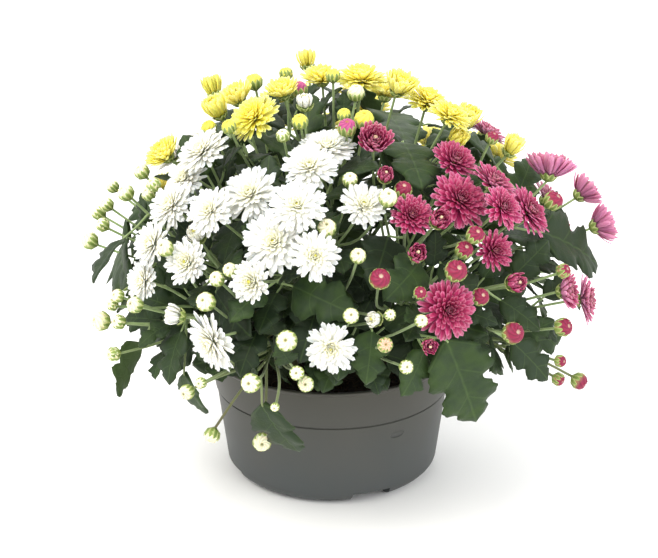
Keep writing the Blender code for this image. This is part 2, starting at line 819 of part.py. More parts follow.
def add_object(name, shape, finish=None, collection=None):
    """A mesh object from a closed bmesh, with its faces all pointing out."""
    bmesh.ops.recalc_face_normals(shape, faces=shape.faces)
    if shape.calc_volume(signed=True) < 0:
        bmesh.ops.reverse_faces(shape, faces=shape.faces)
    mesh = bpy.data.meshes.new(name)
    shape.to_mesh(mesh)
    shape.free()
    made = bpy.data.objects.new(name, mesh)
    (collection or bpy.context.scene.collection).objects.link(made)
    if finish:
        mesh.materials.append(finish)
    return made


def ring(shape, centre, across, over, radius, sides):
    """A ring of vertices round a centre, in the plane of two directions."""
    turns = [2 * math.pi * index / sides for index in range(sides)]
    return [
        shape.verts.new(centre + across * radius * math.cos(turn) + over * radius * math.sin(turn))
        for turn in turns
    ]


def bridge(shape, first, second):
    """Quads between two rings of as many vertices."""
    count = len(first)
    for index in range(count):
        after = (index + 1) % count
        shape.faces.new((first[index], first[after], second[after], second[index]))


def zip_rings(shape, first, second):
    """Triangles between two rings of different counts, both spread evenly round the same axis."""
    i = j = 0
    n, m = len(first), len(second)
    while i < n or j < m:
        if j == m or (i < n and (i + 1) * m <= (j + 1) * n):
            shape.faces.new((first[i % n], first[(i + 1) % n], second[j % m]))
            i += 1
        else:
            shape.faces.new((first[i % n], second[(j + 1) % m], second[j % m]))
            j += 1


def tube(points, radii, sides):
    """A closed tube whose radius and number of sides change from point to point."""
    shape = bmesh.new()
    before = None
    across = (points[1] - points[0]).orthogonal().normalized()
    for index, (place, radius) in enumerate(zip(points, radii)):
        ahead = points[min(index + 1, len(points) - 1)]
        behind = points[max(index - 1, 0)]
        growth = (ahead - behind).normalized()
        across = (across - growth * across.dot(growth)).normalized()
        loop = ring(shape, place, across, growth.cross(across), radius, sides[index])
        if before:
            zip_rings(shape, before, loop)
        else:
            shape.faces.new(loop)
        before = loop
    shape.faces.new(before)
    return shape


def stem_solid(stem, name, collection):
    """A stem, with the flared calyx or the whole bud at its end."""
    flower = stem.flower
    points = list(stem.points)
    last = len(points) - 1
    radii = [stem.radius + (stem.end_radius - stem.radius) * index / last for index in range(last + 1)]
    if flower is None:
        sides = [4 if len(points) > 3 else 8] * len(points)
        return add_object(name, tube(points, radii, sides), None, collection)
    axis, size = flower.axis, flower.radius
    radii[0] *= JOINT_SHARE
    sides = [3] * len(points)
    if flower.kind == "bud":
        points[-1] = flower.centre - axis * 0.85 * size
        points += [flower.centre - axis * 0.10 * size, flower.centre + axis * 0.85 * size]
        radii += [size * 1.05, 0.50 * size]
        sides += [4, 4]
    else:
        points.insert(-1, points[-1] - axis * 0.22 * size)
        radii.insert(-1, stem.end_radius)
        radii[-1] = (SEAT_RADIUS if flower.kind == "bloom" else 0.6 * SEAT_RADIUS) * size
        sides += [5]
    return add_object(name, tube(points, radii, sides), None, collection)


def bloom_tiers(flower):
    """The tiers of petals, the outer first: count, length, foot radius, foot height and rise in degrees."""
    closed = 1 - flower.openness
    outer, inner = (10, 7) if flower.radius > 0.0195 else (9, 6) if flower.radius > 0.0165 else (8, 5)
    return (
        (outer, 0.80, 0.20, -0.08, 8 + 60 * closed),
        (inner, 0.58, 0.15, 0.01, 34 + 42 * closed),
    )


def bloom_shape(flower):
    """One closed shell: a seat, tiers of petals with a valley between them, and a dimpled eye. Axis +Z."""
    shape = bmesh.new()
    radius = flower.radius
    x_axis, y_axis = Vector((1, 0, 0)), Vector((0, 1, 0))
    before = ring(shape, UP * -SEAT_DEPTH * radius, x_axis, y_axis, SEAT_RADIUS * 1.05 * radius, 5)
    shape.faces.new(before)
    tiers = bloom_tiers(flower)
    for level, (count, length, foot, height, rise) in enumerate(tiers):
        angle = math.radians(rise)
        loop = []
        for index in range(count * 2):
            share = 1.0 if index % 2 else 0.60
            turn = math.pi * (index + level) / count
            out = (foot + length * share * math.cos(angle)) * radius
            up = (height + length * share * math.sin(angle)) * radius
            loop.append(shape.verts.new(Vector((out * math.cos(turn), out * math.sin(turn), up))))
        zip_rings(shape, before, loop)
        before = loop
        if level + 1 < len(tiers):
            after = tiers[level + 1]
            valley = ring(shape, UP * (after[3] + 0.05) * radius, x_axis, y_axis, (after[2] + 0.16) * radius, 6)
            zip_rings(shape, before, valley)
            before = valley
    eye = shape.verts.new(UP * (0.22 + 0.10 * (1 - flower.openness)) * radius)
    for index, vert in enumerate(before):
        shape.faces.new((vert, before[(index + 1) % len(before)], eye))
    return shape


def bloom_solid(flower, name, finish=None, collection=None):
    """A bloom's petals at their place, facing the way that the bloom faces."""
    shape = bloom_shape(flower)
    turn = flower.axis.to_track_quat("Z", "Y").to_matrix().to_4x4()
    bmesh.ops.transform(shape, matrix=Matrix.Translation(flower.centre) @ turn, verts=shape.verts)
    return add_object(name, shape, finish, collection)


def leaf_solid(leaf, name, collection):
    """A lobed, arched blade of even thickness that narrows into its own stalk."""
    shape = bmesh.new()
    outline = [(1.0, 0.0)] + [(along, across) for along, across in reversed(LEAF_OUTLINE)]
    outline += [(along, -across) for along, across in LEAF_OUTLINE]
    half = len(LEAF_OUTLINE)
    rims = []
    sunk_root = leaf.root + (leaf.root - leaf.base).normalized() * LEAF_SINK
    for raised in (LEAF_THICKNESS / 2, -LEAF_THICKNESS / 2):
        rim = [shape.verts.new(leaf.point(along, across, raised)) for along, across in outline]
        hub = shape.verts.new(leaf.point(LEAF_HUB, 0.0, raised))
        for first, second in zip(rim, rim[1:] + rim[:1]):
            shape.faces.new((first, second, hub))
        foot = [
            shape.verts.new(sunk_root + leaf.side * across * LEAF_STALK_WIDTH + leaf.upper * raised * 1.6)
            for across in (0.5, -0.5)
        ]
        shape.faces.new((rim[half], *foot, rim[half + 1]))
        rims.append(rim[: half + 1] + foot + rim[half + 1 :])
    bridge(shape, *rims)
    add_object(name, shape, None, collection)


def evaluated_mesh(source):
    """An object's mesh with its modifiers applied."""
    graph = bpy.context.evaluated_depsgraph_get()
    return bpy.data.meshes.new_from_object(source.evaluated_get(graph))


def fill_pockets(mesh):
    """Keeps a mesh's largest shell, so that small pockets between crossing pieces are solid."""
    shape = bmesh.new()
    shape.from_mesh(mesh)
    left = set(shape.verts)
    shells = []
    while left:
        shell = {left.pop()}
        edge = list(shell)
        while edge:
            around = [other for link in edge.pop().link_edges for other in link.verts if other in left]
            left.difference_update(around)
            shell.update(around)
            edge += set(around)
        shells.append(shell)
    spare = set(shape.verts) - max(shells, key=len)
    bmesh.ops.delete(shape, geom=list(spare), context="VERTS")
    shape.to_mesh(mesh)
    shape.free()


def fuse(name, collection, finish):
    """Joins a collection's solids into the one named object."""
    parts = list(collection.objects)
    first = parts[0]
    collection.objects.unlink(first)
    bpy.context.scene.collection.objects.link(first)
    if len(parts) > 1:
        join = first.modifiers.new("join", "BOOLEAN")
        join.operation = "UNION"
        join.operand_type = "COLLECTION"
        join.collection = collection
        join.solver = "MANIFOLD"
    mesh = evaluated_mesh(first)
    for part in parts:
        bpy.data.objects.remove(part, do_unlink=True)
    bpy.data.collections.remove(collection)
    fill_pockets(mesh)
    mesh.name = name
    mesh.materials.clear()
    mesh.materials.append(finish)
    made = bpy.data.objects.new(name, mesh)
    bpy.context.scene.collection.objects.link(made)
    return made


def gather(name):
    """A collection for the repeats that one node joins."""
    collection = bpy.data.collections.new(name)
    bpy.context.scene.collection.children.link(collection)
    return collection


def build_plant(colour, stems, leaves, flowers, finish):
    """A plant's green body: its stems, leaves, calyxes, buds and half-open cups, joined as they grew."""
    collection = gather(f"{colour}_pieces")
    for index, stem in enumerate(stems):
        if not (stem.flower and stem.flower.left_to_the_fine_model()):
            stem_solid(stem, f"{colour}_stem_{index:03d}", collection)
    for index, leaf in enumerate(leaves):
        leaf_solid(leaf, f"{colour}_leaf_{index:02d}", collection)
    for index, flower in enumerate(f for f in flowers if f.kind == "cup"):
        bloom_solid(flower, f"{colour}_cup_{index:02d}", None, collection)
    return fuse(f"{colour}_plant", collection, finish)


def build_blooms(flowers, finishes):
    """A node for each open bloom of the near side and for each joined pair of the far side."""
    for name in sorted({f.name for f in flowers if f.kind == "bloom"}):
        group = [f for f in flowers if f.name == name]
        collection = gather(f"{name}_pieces")
        for index, flower in enumerate(group):
            bloom_solid(flower, f"{name}_{index}", None, collection)
        fuse(name, collection, finishes[group[0].colour])


def spun(name, profile, finish, steps):
    """A closed solid of revolution about Z from its half outline."""
    shape = bmesh.new()
    verts = [shape.verts.new((radius, 0, height)) for radius, height in profile]
    edges = [shape.edges.new(pair) for pair in zip(verts, verts[1:])]
    bmesh.ops.spin(
        shape, geom=verts + edges, cent=(0, 0, 0), axis=(0, 0, 1), angle=2 * math.pi, steps=steps, use_merge=True
    )
    bmesh.ops.remove_doubles(shape, verts=shape.verts, dist=1e-6)
    return add_object(name, shape, finish)


def wall_radius(height, inset=0.0):
    """The pot's outer radius at a height on its straight flank, less an inset."""
    share = (height - POT_CORNER) / (POT_HEIGHT - POT_CORNER)
    foot = POT_FOOT_RADIUS + 0.0035
    return foot + (POT_RIM_RADIUS - foot) * share - inset


def pot_outside():
    """The pot's outer section, from the middle of its underside to the top of the rim."""
    corner = [
        (
            POT_FOOT_RADIUS - POT_CORNER + (POT_CORNER + 0.0035 * math.sin(turn)) * math.sin(turn),
            POT_CORNER * (1 - math.cos(turn)),
        )
        for turn in (math.radians(a) for a in (0, 45, 90))
    ]
    band = POT_BAND_HEIGHT
    return [(0, 0)] + corner + [
        (wall_radius(band) - POT_BAND_STEP, band),
        (wall_radius(band), band + 0.0006),
        (wall_radius(POT_HEIGHT), POT_HEIGHT - 0.0035),
        (POT_RIM_RADIUS + POT_LIP, POT_HEIGHT - 0.0028),
        (POT_RIM_RADIUS + POT_LIP, POT_HEIGHT),
        (0, POT_HEIGHT),
    ]


def pot_inside():
    """The section of the pot's cavity, from the middle of its floor to above the rim."""
    band = POT_BAND_HEIGHT
    return [
        (0, POT_WALL),
        (POT_FOOT_RADIUS - POT_CORNER, POT_WALL),
        (POT_FOOT_RADIUS - 0.29 * POT_CORNER, 0.40 * POT_CORNER),
        (inner_radius(POT_CORNER), POT_CORNER),
        (inner_radius(band), band),
        (wall_radius(POT_HEIGHT, POT_WALL), POT_HEIGHT),
        (wall_radius(POT_HEIGHT, POT_WALL), POT_HEIGHT + 0.010),
        (0, POT_HEIGHT + 0.010),
    ]


def inner_radius(height):
    """The radius of the pot's inner wall at a height."""
    return wall_radius(height, POT_WALL + (POT_BAND_STEP if height <= POT_BAND_HEIGHT else 0.0))


def arch_blocks(name, margin, low, high):
    """A radial block for each drainage arch, wider by a margin, that runs out past the pot's wall."""
    blocks = []
    outer = POT_RIM_RADIUS + 0.010
    inner = ARCH_INNER_RADIUS - margin
    for index in range(ARCH_COUNT):
        bearing = ARCH_FIRST + index * 2 * math.pi / ARCH_COUNT
        shape = bmesh.new()
        bmesh.ops.create_cube(shape, size=1.0)
        size = Vector((2 * (ARCH_HALF_WIDTH + margin), outer - inner, high - low))
        bmesh.ops.scale(shape, vec=size, verts=shape.verts)
        bmesh.ops.translate(shape, vec=Vector((0, -(outer + inner) / 2, (high + low) / 2)), verts=shape.verts)
        turn = Matrix.Rotation(bearing, 3, "Z")
        bmesh.ops.rotate(shape, cent=(0, 0, 0), matrix=turn, verts=shape.verts)
        blocks.append(add_object(f"{name}_{index}", shape))
    return blocks


def drain_cutters():
    """A round cutter through the ceiling of each drainage arch."""
    cutters = []
    for index in range(ARCH_COUNT):
        bearing = ARCH_FIRST + index * 2 * math.pi / ARCH_COUNT
        centre = Vector((DRAIN_PLACE * math.sin(bearing), -DRAIN_PLACE * math.cos(bearing), 0))
        points = [centre + UP * (ARCH_HEIGHT - 0.003), centre + UP * (ARCH_HEIGHT + POT_WALL + 0.003)]
        cutters.append(add_object(f"drain_{index}", tube(points, [DRAIN_RADIUS] * 2, [10] * 2)))
    return cutters


def combine(target, others, operation):
    """Adds or cuts each of the others, and removes them."""
    for other in others:
        change = target.modifiers.new(operation.lower(), "BOOLEAN")
        change.operation = operation
        change.object = other
        change.solver = "EXACT"
    mesh = evaluated_mesh(target)
    target.modifiers.clear()
    target.data = mesh
    for other in others:
        bpy.data.objects.remove(other, do_unlink=True)


def build_pot(finish):
    """The pot: turned wall and floor, with raised arches over the drainage channels and their holes."""
    pot = spun("pot", pot_outside(), finish, POT_STEPS)
    cavity = spun("cavity", pot_inside(), finish, POT_STEPS)
    combine(cavity, arch_blocks("ceiling", POT_WALL, -0.005, ARCH_HEIGHT + POT_WALL), "DIFFERENCE")
    combine(pot, [cavity] + arch_blocks("channel", 0.0, -0.005, ARCH_HEIGHT) + drain_cutters(), "DIFFERENCE")
    pot.data.shade_smooth()
    pot.data.set_sharp_from_angle(angle=math.radians(30))
    return pot


def build_soil(finish):
    """The soil: it fills the pot, lies over the arches, and has a hole for each main stem."""
    gap = TOUCH_GAP
    band = POT_BAND_HEIGHT
    ceiling = ARCH_HEIGHT + POT_WALL + gap
    profile = [
        (0, ceiling),
        (POT_FOOT_RADIUS - 0.35 * POT_CORNER, ceiling),
        (inner_radius(SOIL_SHOULDER) - 4 * gap, SOIL_SHOULDER),
        (inner_radius(band) - 4 * gap, band),
        (inner_radius(SOIL_TOP) - 4 * gap, SOIL_TOP),
        (0.070, SOIL_TOP + 0.0022),
        (0.036, SOIL_TOP + 0.0010),
        (0, SOIL_TOP + SOIL_CROWN),
    ]
    soil = spun("soil", profile, finish, SOIL_STEPS)
    holes = []
    for colour, facts in PLANTS.items():
        x, y = facts["foot"]
        points = [Vector((x, y, SOIL_TOP - STEM_HOLE_DEPTH - gap)), Vector((x, y, SOIL_TOP + 0.02))]
        holes.append(add_object(f"{colour}_hole", tube(points, [STEM_RADIUS + 2 * gap] * 2, [12] * 2)))
    combine(soil, holes, "DIFFERENCE")
    return soil


def main():
    clear_scene()
    leaf_green = material("leaf and stem", (0.070, 0.165, 0.055), 0.55)
    finishes = {
        "white": material("white petal", (0.860, 0.860, 0.780), 0.60),
        "yellow": material("yellow petal", (0.900, 0.780, 0.060), 0.60),
        "magenta": material("magenta petal", (0.520, 0.050, 0.200), 0.60),
    }
    build_pot(material("grey plastic", (0.125, 0.130, 0.125), 0.45))
    build_soil(material("potting soil", (0.030, 0.022, 0.016), 0.95))
    flowers, stems, leaves = lay_out()
    for colour in PLANTS:
        build_plant(
            colour,
            [s for s in stems if s.colour == colour],
            [leaf for leaf in leaves if leaf.stem.colour == colour],
            [f for f in flowers if f.colour == colour],
            leaf_green,
        )
    build_blooms(flowers, finishes)


main()
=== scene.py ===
"""Pot chrysanthemum, dressed for its picture: fine petals, buds, leaves, stems, soil and a turned pot.

Metres, +Z up. The origin is the middle of the pot's base. The layout is the same as in the solids, so
every fine piece takes the place of the solid that it stands for.
"""

import math
import random
from dataclasses import dataclass, field
from itertools import product

import bmesh
import bpy
import numpy as np
from mathutils import Matrix, Vector, noise


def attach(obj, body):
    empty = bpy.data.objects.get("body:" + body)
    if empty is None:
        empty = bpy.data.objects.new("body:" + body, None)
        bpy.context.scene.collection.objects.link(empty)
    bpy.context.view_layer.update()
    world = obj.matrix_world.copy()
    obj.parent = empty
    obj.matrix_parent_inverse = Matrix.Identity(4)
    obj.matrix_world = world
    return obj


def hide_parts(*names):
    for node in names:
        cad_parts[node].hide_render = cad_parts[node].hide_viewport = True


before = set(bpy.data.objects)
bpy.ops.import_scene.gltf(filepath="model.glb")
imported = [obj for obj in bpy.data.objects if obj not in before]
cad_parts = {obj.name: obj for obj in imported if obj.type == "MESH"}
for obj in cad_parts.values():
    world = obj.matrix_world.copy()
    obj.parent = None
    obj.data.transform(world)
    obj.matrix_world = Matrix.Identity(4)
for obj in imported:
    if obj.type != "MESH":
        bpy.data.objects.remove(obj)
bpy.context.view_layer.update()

UP = Vector((0, 0, 1))
TOUCH_GAP = 0.0003

# Pot: a turned plastic bowl with a rolled lip, a wider band under the rim, and a groove under the band
POT_RIM_RADIUS = 0.112
POT_HEIGHT = 0.1165
POT_WALL = 0.0020
POT_LIP = 0.0016
POT_LIP_ROUND = 0.0014
POT_STEP_ROUND = 0.0006
POT_FOOT_RADIUS = 0.0940
POT_FOOT_FLARE = 0.0035
POT_CORNER = 0.0130
POT_BAND_HEIGHT = 0.0815
POT_BAND_STEP = 0.0014
POT_STEPS = 144
GROOVE_WIDTH = 0.0026
GROOVE_DEPTH = 0.0009

# Four arches in the pot's foot, each with a drain hole, and the shallow oval that moulding left
ARCH_BEARINGS = tuple(math.radians(-68.5) + index * math.pi / 2 for index in range(4))
ARCH_HALF_WIDTH = 0.0180
ARCH_HEIGHT = 0.0110
ARCH_INNER_RADIUS = 0.0420
DRAIN_RADIUS = 0.0045
DRAIN_PLACE = 0.0680
DIMPLE_BEARING = math.radians(33.0)
DIMPLE_HEIGHT = 0.0660
DIMPLE_SIZE = Vector((0.0078, 0.0022, 0.0034))

# Soil: the crowned filling of the pot, how deep the stems stand in it, and the loose crumbs on its top
SOIL_TOP = 0.1010
SOIL_CROWN = 0.0030
SOIL_CROWN_RADIUS = 0.11
SOIL_SHOULDER = 0.0180
SOIL_STEPS = 96
STEM_HOLE_DEPTH = 0.0450
SOIL_CRUMBS = 420
SOIL_SEED = 5

# The eye that the photograph's places are read from: its pixels become sight lines, which are followed in
# small steps from a little before the head
EYE_AIM = Vector((0, 0, 0.180))
EYE_DISTANCE = 1.300
EYE_RISE = math.radians(20)
EYE_FOCAL_PX = 1443
EYE_MIDDLE_PX = (332, 277)
SIGHT_BEFORE = 0.42
SIGHT_STEP = 0.002
SIGHT_STEPS = 420

# The head of flowers: half of an ellipsoid over a flatter one that hangs below the widest line
HEAD_CENTRE = Vector((0.010, 0.000, 0.165))
HEAD_RADIUS_X = 0.228
HEAD_RADIUS_Y = 0.215
HEAD_RISE = 0.200
HEAD_SAG = 0.100

# Stems, by radius, how high they fork above the soil, and how deep in a flower a stalk ends
STEM_RADIUS = 0.0040
BRANCH_RADIUS = 0.0023
STALK_RADIUS = 0.0011
CROWN_RISE = 0.0140
SEAT_DEPTH = 0.17

# How often the flowers are gathered into sprays, and the ways that are tried for a branch and then for a
# stalk, as shares of how far it reaches
SPRAY_ROUNDS = 4
BRANCH_RISES = (0.20, 0.10, 0.32, 0.02)
BRANCH_SWINGS = (0.0, 0.12, -0.12, 0.25, -0.25)
BRANCH_REACHES = (0.62, 0.54)
STALK_STARTS = (0.0, -0.12, -0.25, 0.10)
STALK_BENDS = ((0.0, 0.0), (0.15, 0.0), (-0.15, 0.0), (0.0, 0.25), (0.35, 0.0), (-0.35, 0.0), (0.2, 0.4))
STALK_NECKS = (0.30, 0.18, 0.45, 0.62)

# The plants, by where they stand in the soil and how many branches they fork into
PLANTS = {
    "white": {"foot": (-0.034, -0.026), "branches": 8},
    "yellow": {"foot": (0.004, 0.040), "branches": 6},
    "magenta": {"foot": (0.040, -0.018), "branches": 7},
}

# Open blooms that the photograph shows: colour, photo x, photo y, width in mm, openness from 0 to 1,
# then degrees that the face turns to the right of the head's surface, and degrees that it lifts
OPEN_BLOOMS = (
    ("white", 275, 243, 52, 1.00, 0, 0),
    ("white", 251, 195, 49, 1.00, 0, 0),
    ("white", 310, 168, 46, 1.00, 0, 0),
    ("white", 327, 149, 46, 1.00, 0, 10),
    ("white", 297, 207, 45, 1.00, 10, 0),
    ("white", 315, 256, 38, 0.95, 10, -10),
    ("white", 363, 206, 37, 0.95, 5, 0),
    ("white", 252, 282, 32, 0.85, 0, -5),
    ("white", 188, 263, 36, 0.90, 10, 0),
    ("white", 144, 281, 34, 0.95, 0, 0),
    ("white", 153, 244, 37, 0.95, 0, 0),
    ("white", 172, 206, 44, 1.00, 0, 0),
    ("white", 211, 212, 42, 1.00, 0, 0),
    ("white", 203, 152, 48, 1.00, 0, 0),
    ("white", 186, 180, 42, 1.00, 0, 0),
    ("white", 213, 341, 50, 1.00, -20, -22),
    ("white", 331, 348, 38, 0.95, 0, 0),
    ("yellow", 255, 119, 45, 1.00, 0, -18),
    ("yellow", 238, 99, 31, 0.80, 0, 0),
    ("yellow", 166, 155, 34, 0.90, 0, 0),
    ("yellow", 283, 93, 29, 0.85, 0, 0),
    ("yellow", 322, 79, 36, 0.95, 0, 0),
    ("yellow", 362, 81, 46, 1.00, 0, 0),
    ("yellow", 398, 89, 31, 0.75, 0, -12),
    ("yellow", 427, 103, 40, 1.00, 0, 0),
    ("yellow", 449, 117, 38, 1.00, 10, 0),
    ("magenta", 374, 143, 31, 0.72, 0, -12),
    ("magenta", 411, 216, 34, 0.95, 0, 0),
    ("magenta", 454, 162, 37, 0.95, 0, 0),
    ("magenta", 459, 201, 48, 1.00, 0, 0),
    ("magenta", 502, 208, 36, 1.00, 0, 0),
    ("magenta", 493, 183, 38, 0.95, 30, 10),
    ("magenta", 527, 212, 46, 1.00, 18, 0),
    ("magenta", 493, 251, 33, 0.95, 0, -8),
    ("magenta", 549, 173, 44, 0.90, 10, 25),
    ("magenta", 581, 194, 36, 0.90, 12, 0),
    ("magenta", 597, 226, 38, 0.95, 12, 0),
    ("magenta", 447, 310, 47, 1.00, 0, 0),
    ("magenta", 564, 291, 32, 0.85, 20, 0),
    ("magenta", 583, 299, 40, 0.95, 20, 0),
)

# Half-open blooms, still cups on their stalks, in the same order
CUPS = (
    ("white", 178, 316, 24, 0.55, -50, 0),
    ("white", 198, 237, 22, 0.45, 0, 20),
    ("white", 376, 319, 17, 0.30, -45, 0),
    ("white", 305, 105, 20, 0.25, 0, 10),
    ("yellow", 219, 113, 27, 0.60, 0, 0),
    ("yellow", 214, 92, 25, 0.55, -30, 0),
    ("yellow", 307, 64, 23, 0.55, 0, 0),
    ("yellow", 465, 122, 27, 0.60, 0, 0),
    ("yellow", 455, 142, 24, 0.45, 0, -10),
    ("yellow", 510, 150, 24, 0.60, 15, 10),
    ("magenta", 438, 221, 22, 0.55, 0, 0),
    ("magenta", 385, 177, 18, 0.45, 0, 0),
    ("magenta", 417, 254, 21, 0.50, -10, 0),
    ("magenta", 513, 283, 22, 0.45, 0, 0),
    ("magenta", 429, 345, 18, 0.45, -10, 0),
)

# Buds: colour, photo x, photo y, width in mm; then the width of the smallest that has a solid, and how far
# out they stand, as a share of the head's radius
BUDS = (
    ("white", 165, 248, 13),
    ("white", 217, 279, 12),
    ("white", 206, 302, 15),
    ("white", 230, 270, 11),
    ("white", 327, 228, 14),
    ("white", 358, 256, 12),
    ("white", 350, 180, 12),
    ("white", 388, 198, 14),
    ("white", 351, 316, 12),
    ("white", 390, 315, 9),
    ("white", 287, 341, 16),
    ("white", 297, 373, 11),
    ("white", 306, 384, 12),
    ("white", 251, 383, 15),
    ("white", 262, 442, 15),
    ("white", 212, 435, 13),
    ("white", 187, 392, 12),
    ("white", 201, 383, 9),
    ("white", 114, 354, 12),
    ("white", 101, 321, 16),
    ("white", 119, 322, 12),
    ("white", 118, 296, 11),
    ("white", 113, 305, 10),
    ("white", 135, 305, 13),
    ("white", 90, 241, 15),
    ("white", 103, 225, 12),
    ("white", 107, 205, 12),
    ("white", 99, 213, 13),
    ("white", 113, 187, 11),
    ("white", 126, 193, 14),
    ("white", 142, 172, 13),
    ("white", 154, 185, 12),
    ("white", 149, 194, 12),
    ("white", 406, 367, 11),
    ("white", 385, 345, 12),
    ("white", 421, 321, 10),
    ("white", 275, 407, 7),
    ("white", 356, 93, 14),
    ("yellow", 254, 82, 15),
    ("yellow", 286, 74, 12),
    ("yellow", 333, 76, 12),
    ("yellow", 209, 128, 13),
    ("yellow", 229, 127, 12),
    ("yellow", 364, 120, 16),
    ("yellow", 344, 115, 11),
    ("yellow", 300, 122, 13),
    ("yellow", 299, 90, 15),
    ("yellow", 347, 128, 15),
    ("white", 283, 136, 11),
    ("magenta", 403, 190, 14),
    ("magenta", 380, 279, 16),
    ("magenta", 456, 271, 17),
    ("magenta", 464, 250, 14),
    ("magenta", 475, 235, 14),
    ("magenta", 513, 333, 17),
    ("magenta", 563, 271, 12),
    ("magenta", 563, 327, 15),
    ("magenta", 553, 201, 16),
    ("magenta", 492, 138, 11),
    ("magenta", 420, 293, 10),
    ("magenta", 480, 297, 14),
    ("magenta", 579, 381, 14),
    ("magenta", 558, 379, 11),
    ("magenta", 560, 361, 10),
)
SMALLEST_SOLID_BUD = 0.0125
BUD_SHARE = 1.02

# How a flower finds its place along its sight line, and how clear it stays
PLACING_STEP = 0.002
PLACING_STEPS = 20
PLACING_ROUNDS = 4
PLACING_SHRINK = 0.93
BLOOM_GAP = 0.0014
STEM_GAP = 0.0004
BEAD_REACH = 0.020
STEM_BEAD_STEP = 0.004
STEM_BEAD_MARGIN = 0.0006

# The room that a bloom takes, in its own radii: the length, foot radius and foot height of its outer
# petals, their rise in degrees when open and how much more when closed, the rings of beads along them
# by share of the way, bead size, height and number, and the beads of its calyx by depth
OUTER_PETAL = (0.80, 0.20, -0.08)
OUTER_RISE = (8, 60)
BEAD_RINGS = ((0.20, 0.21, 0.18, 7), (0.50, 0.17, 0.16, 14), (0.82, 0.15, 0.05, 22))
CALYX_BEADS = (0.34, 0.54, 0.74)

# The room that a leaf takes, in its own lengths: how far apart its beads are, and their size
LEAF_BEAD_STEP = 0.08
LEAF_BEAD_SIZE = 0.050

# Large leaves that the photograph shows: colour, photo x and y of the blade's base, then of its tip,
# and how deep in the head the base and the tip lie, as shares of its radius
SEEN_LEAVES = (
    ("white", 124, 238, 92, 282, 0.93, 1.03),
    ("white", 126, 240, 129, 282, 0.90, 0.98),
    ("white", 140, 342, 117, 396, 0.90, 1.02),
    ("white", 182, 330, 168, 384, 0.84, 0.97),
    ("white", 240, 220, 224, 264, 0.84, 0.92),
    ("white", 216, 292, 250, 336, 0.84, 0.96),
    ("white", 292, 286, 354, 314, 0.84, 0.95),
    ("white", 258, 330, 240, 376, 0.80, 0.92),
    ("white", 262, 404, 300, 452, 0.92, 1.02),
    ("white", 184, 372, 206, 414, 0.94, 1.04),
    ("white", 320, 300, 300, 362, 0.78, 0.90),
    ("white", 372, 330, 366, 384, 0.84, 0.94),
    ("magenta", 402, 142, 422, 188, 0.82, 0.90),
    ("magenta", 388, 236, 372, 288, 0.78, 0.88),
    ("yellow", 384, 112, 408, 148, 0.84, 0.92),
    ("white", 344, 330, 338, 380, 0.80, 0.90),
    ("magenta", 496, 166, 464, 134, 0.90, 0.97),
    ("magenta", 540, 232, 598, 266, 0.88, 1.00),
    ("magenta", 446, 340, 476, 422, 0.86, 1.02),
    ("magenta", 512, 342, 548, 380, 0.88, 1.00),
    ("magenta", 420, 262, 386, 300, 0.82, 0.92),
    ("magenta", 424, 350, 402, 396, 0.84, 0.94),
    ("magenta", 500, 300, 540, 330, 0.80, 0.92),
    ("magenta", 440, 262, 478, 300, 0.80, 0.88),
    ("yellow", 428, 124, 474, 150, 0.88, 0.96),
    ("yellow", 344, 118, 344, 92, 0.90, 1.00),
)

# The leaf: half of its outline, as shares of its length along and across, from the base to the tip
LEAF_OUTLINE = (
    (0.00, 0.02),
    (0.16, 0.30),
    (0.37, 0.35),
    (0.44, 0.16),
    (0.66, 0.31),
    (0.76, 0.13),
)
LEAF_THICKNESS = 0.0006
LEAF_FOLD = 0.30
LEAF_DROOP = 0.22
LEAF_STALK = 0.0150

# How much deeper than the photograph says a leaf is tried, and where on its stem it may spring; then the
# number, the lengths and the places of the leaves that fill the head, first the large and then the small
LEAF_DEPTHS = (0.0, 0.03, -0.03, 0.06, -0.06, 0.10, 0.15, 0.20, 0.26)
ROOT_SHARES = (0.15, 0.35, 0.55, 0.75)
FILL_LEAVES = 18
FILL_LEAF_LENGTHS = (0.066, 0.056, 0.047)
FILL_LEAF_SHARES = (0.80, 0.55, 0.68, 0.42, 0.92)
FILL_SEED = 11
SMALL_LEAVES = 400
SMALL_LEAF_LENGTHS = (0.056, 0.047, 0.038, 0.030)
SMALL_LEAF_SHARES = (0.55, 0.35, 0.78, 0.20, 0.66)
LEAF_SEED = 23

# The far side of the head, which the photograph hides: how many pairs of blooms and how many buds grow
# there, how far out as a share of the head's radius, the radii of a pair's larger bloom, the size of the
# other as a share of it, and how far each stands from the pair's middle, in radii; then how many places
# are tried, and how far they turn away from the eye
BACK_PAIRS = 12
BACK_BUDS = 6
BACK_SEED = 11
BACK_SHARE = 0.91
BACK_RADII = (0.0195, 0.0235)
BACK_PARTNER = (0.82, 0.95)
BACK_SPREAD = 0.66
BACK_BUD_RADII = (0.0063, 0.0075)
BACK_BLOOM_PLACES = (150, 0.12)
BACK_BUD_PLACES = (100, 0.05)
GOLDEN_ANGLE = math.pi * (3 - math.sqrt(5))

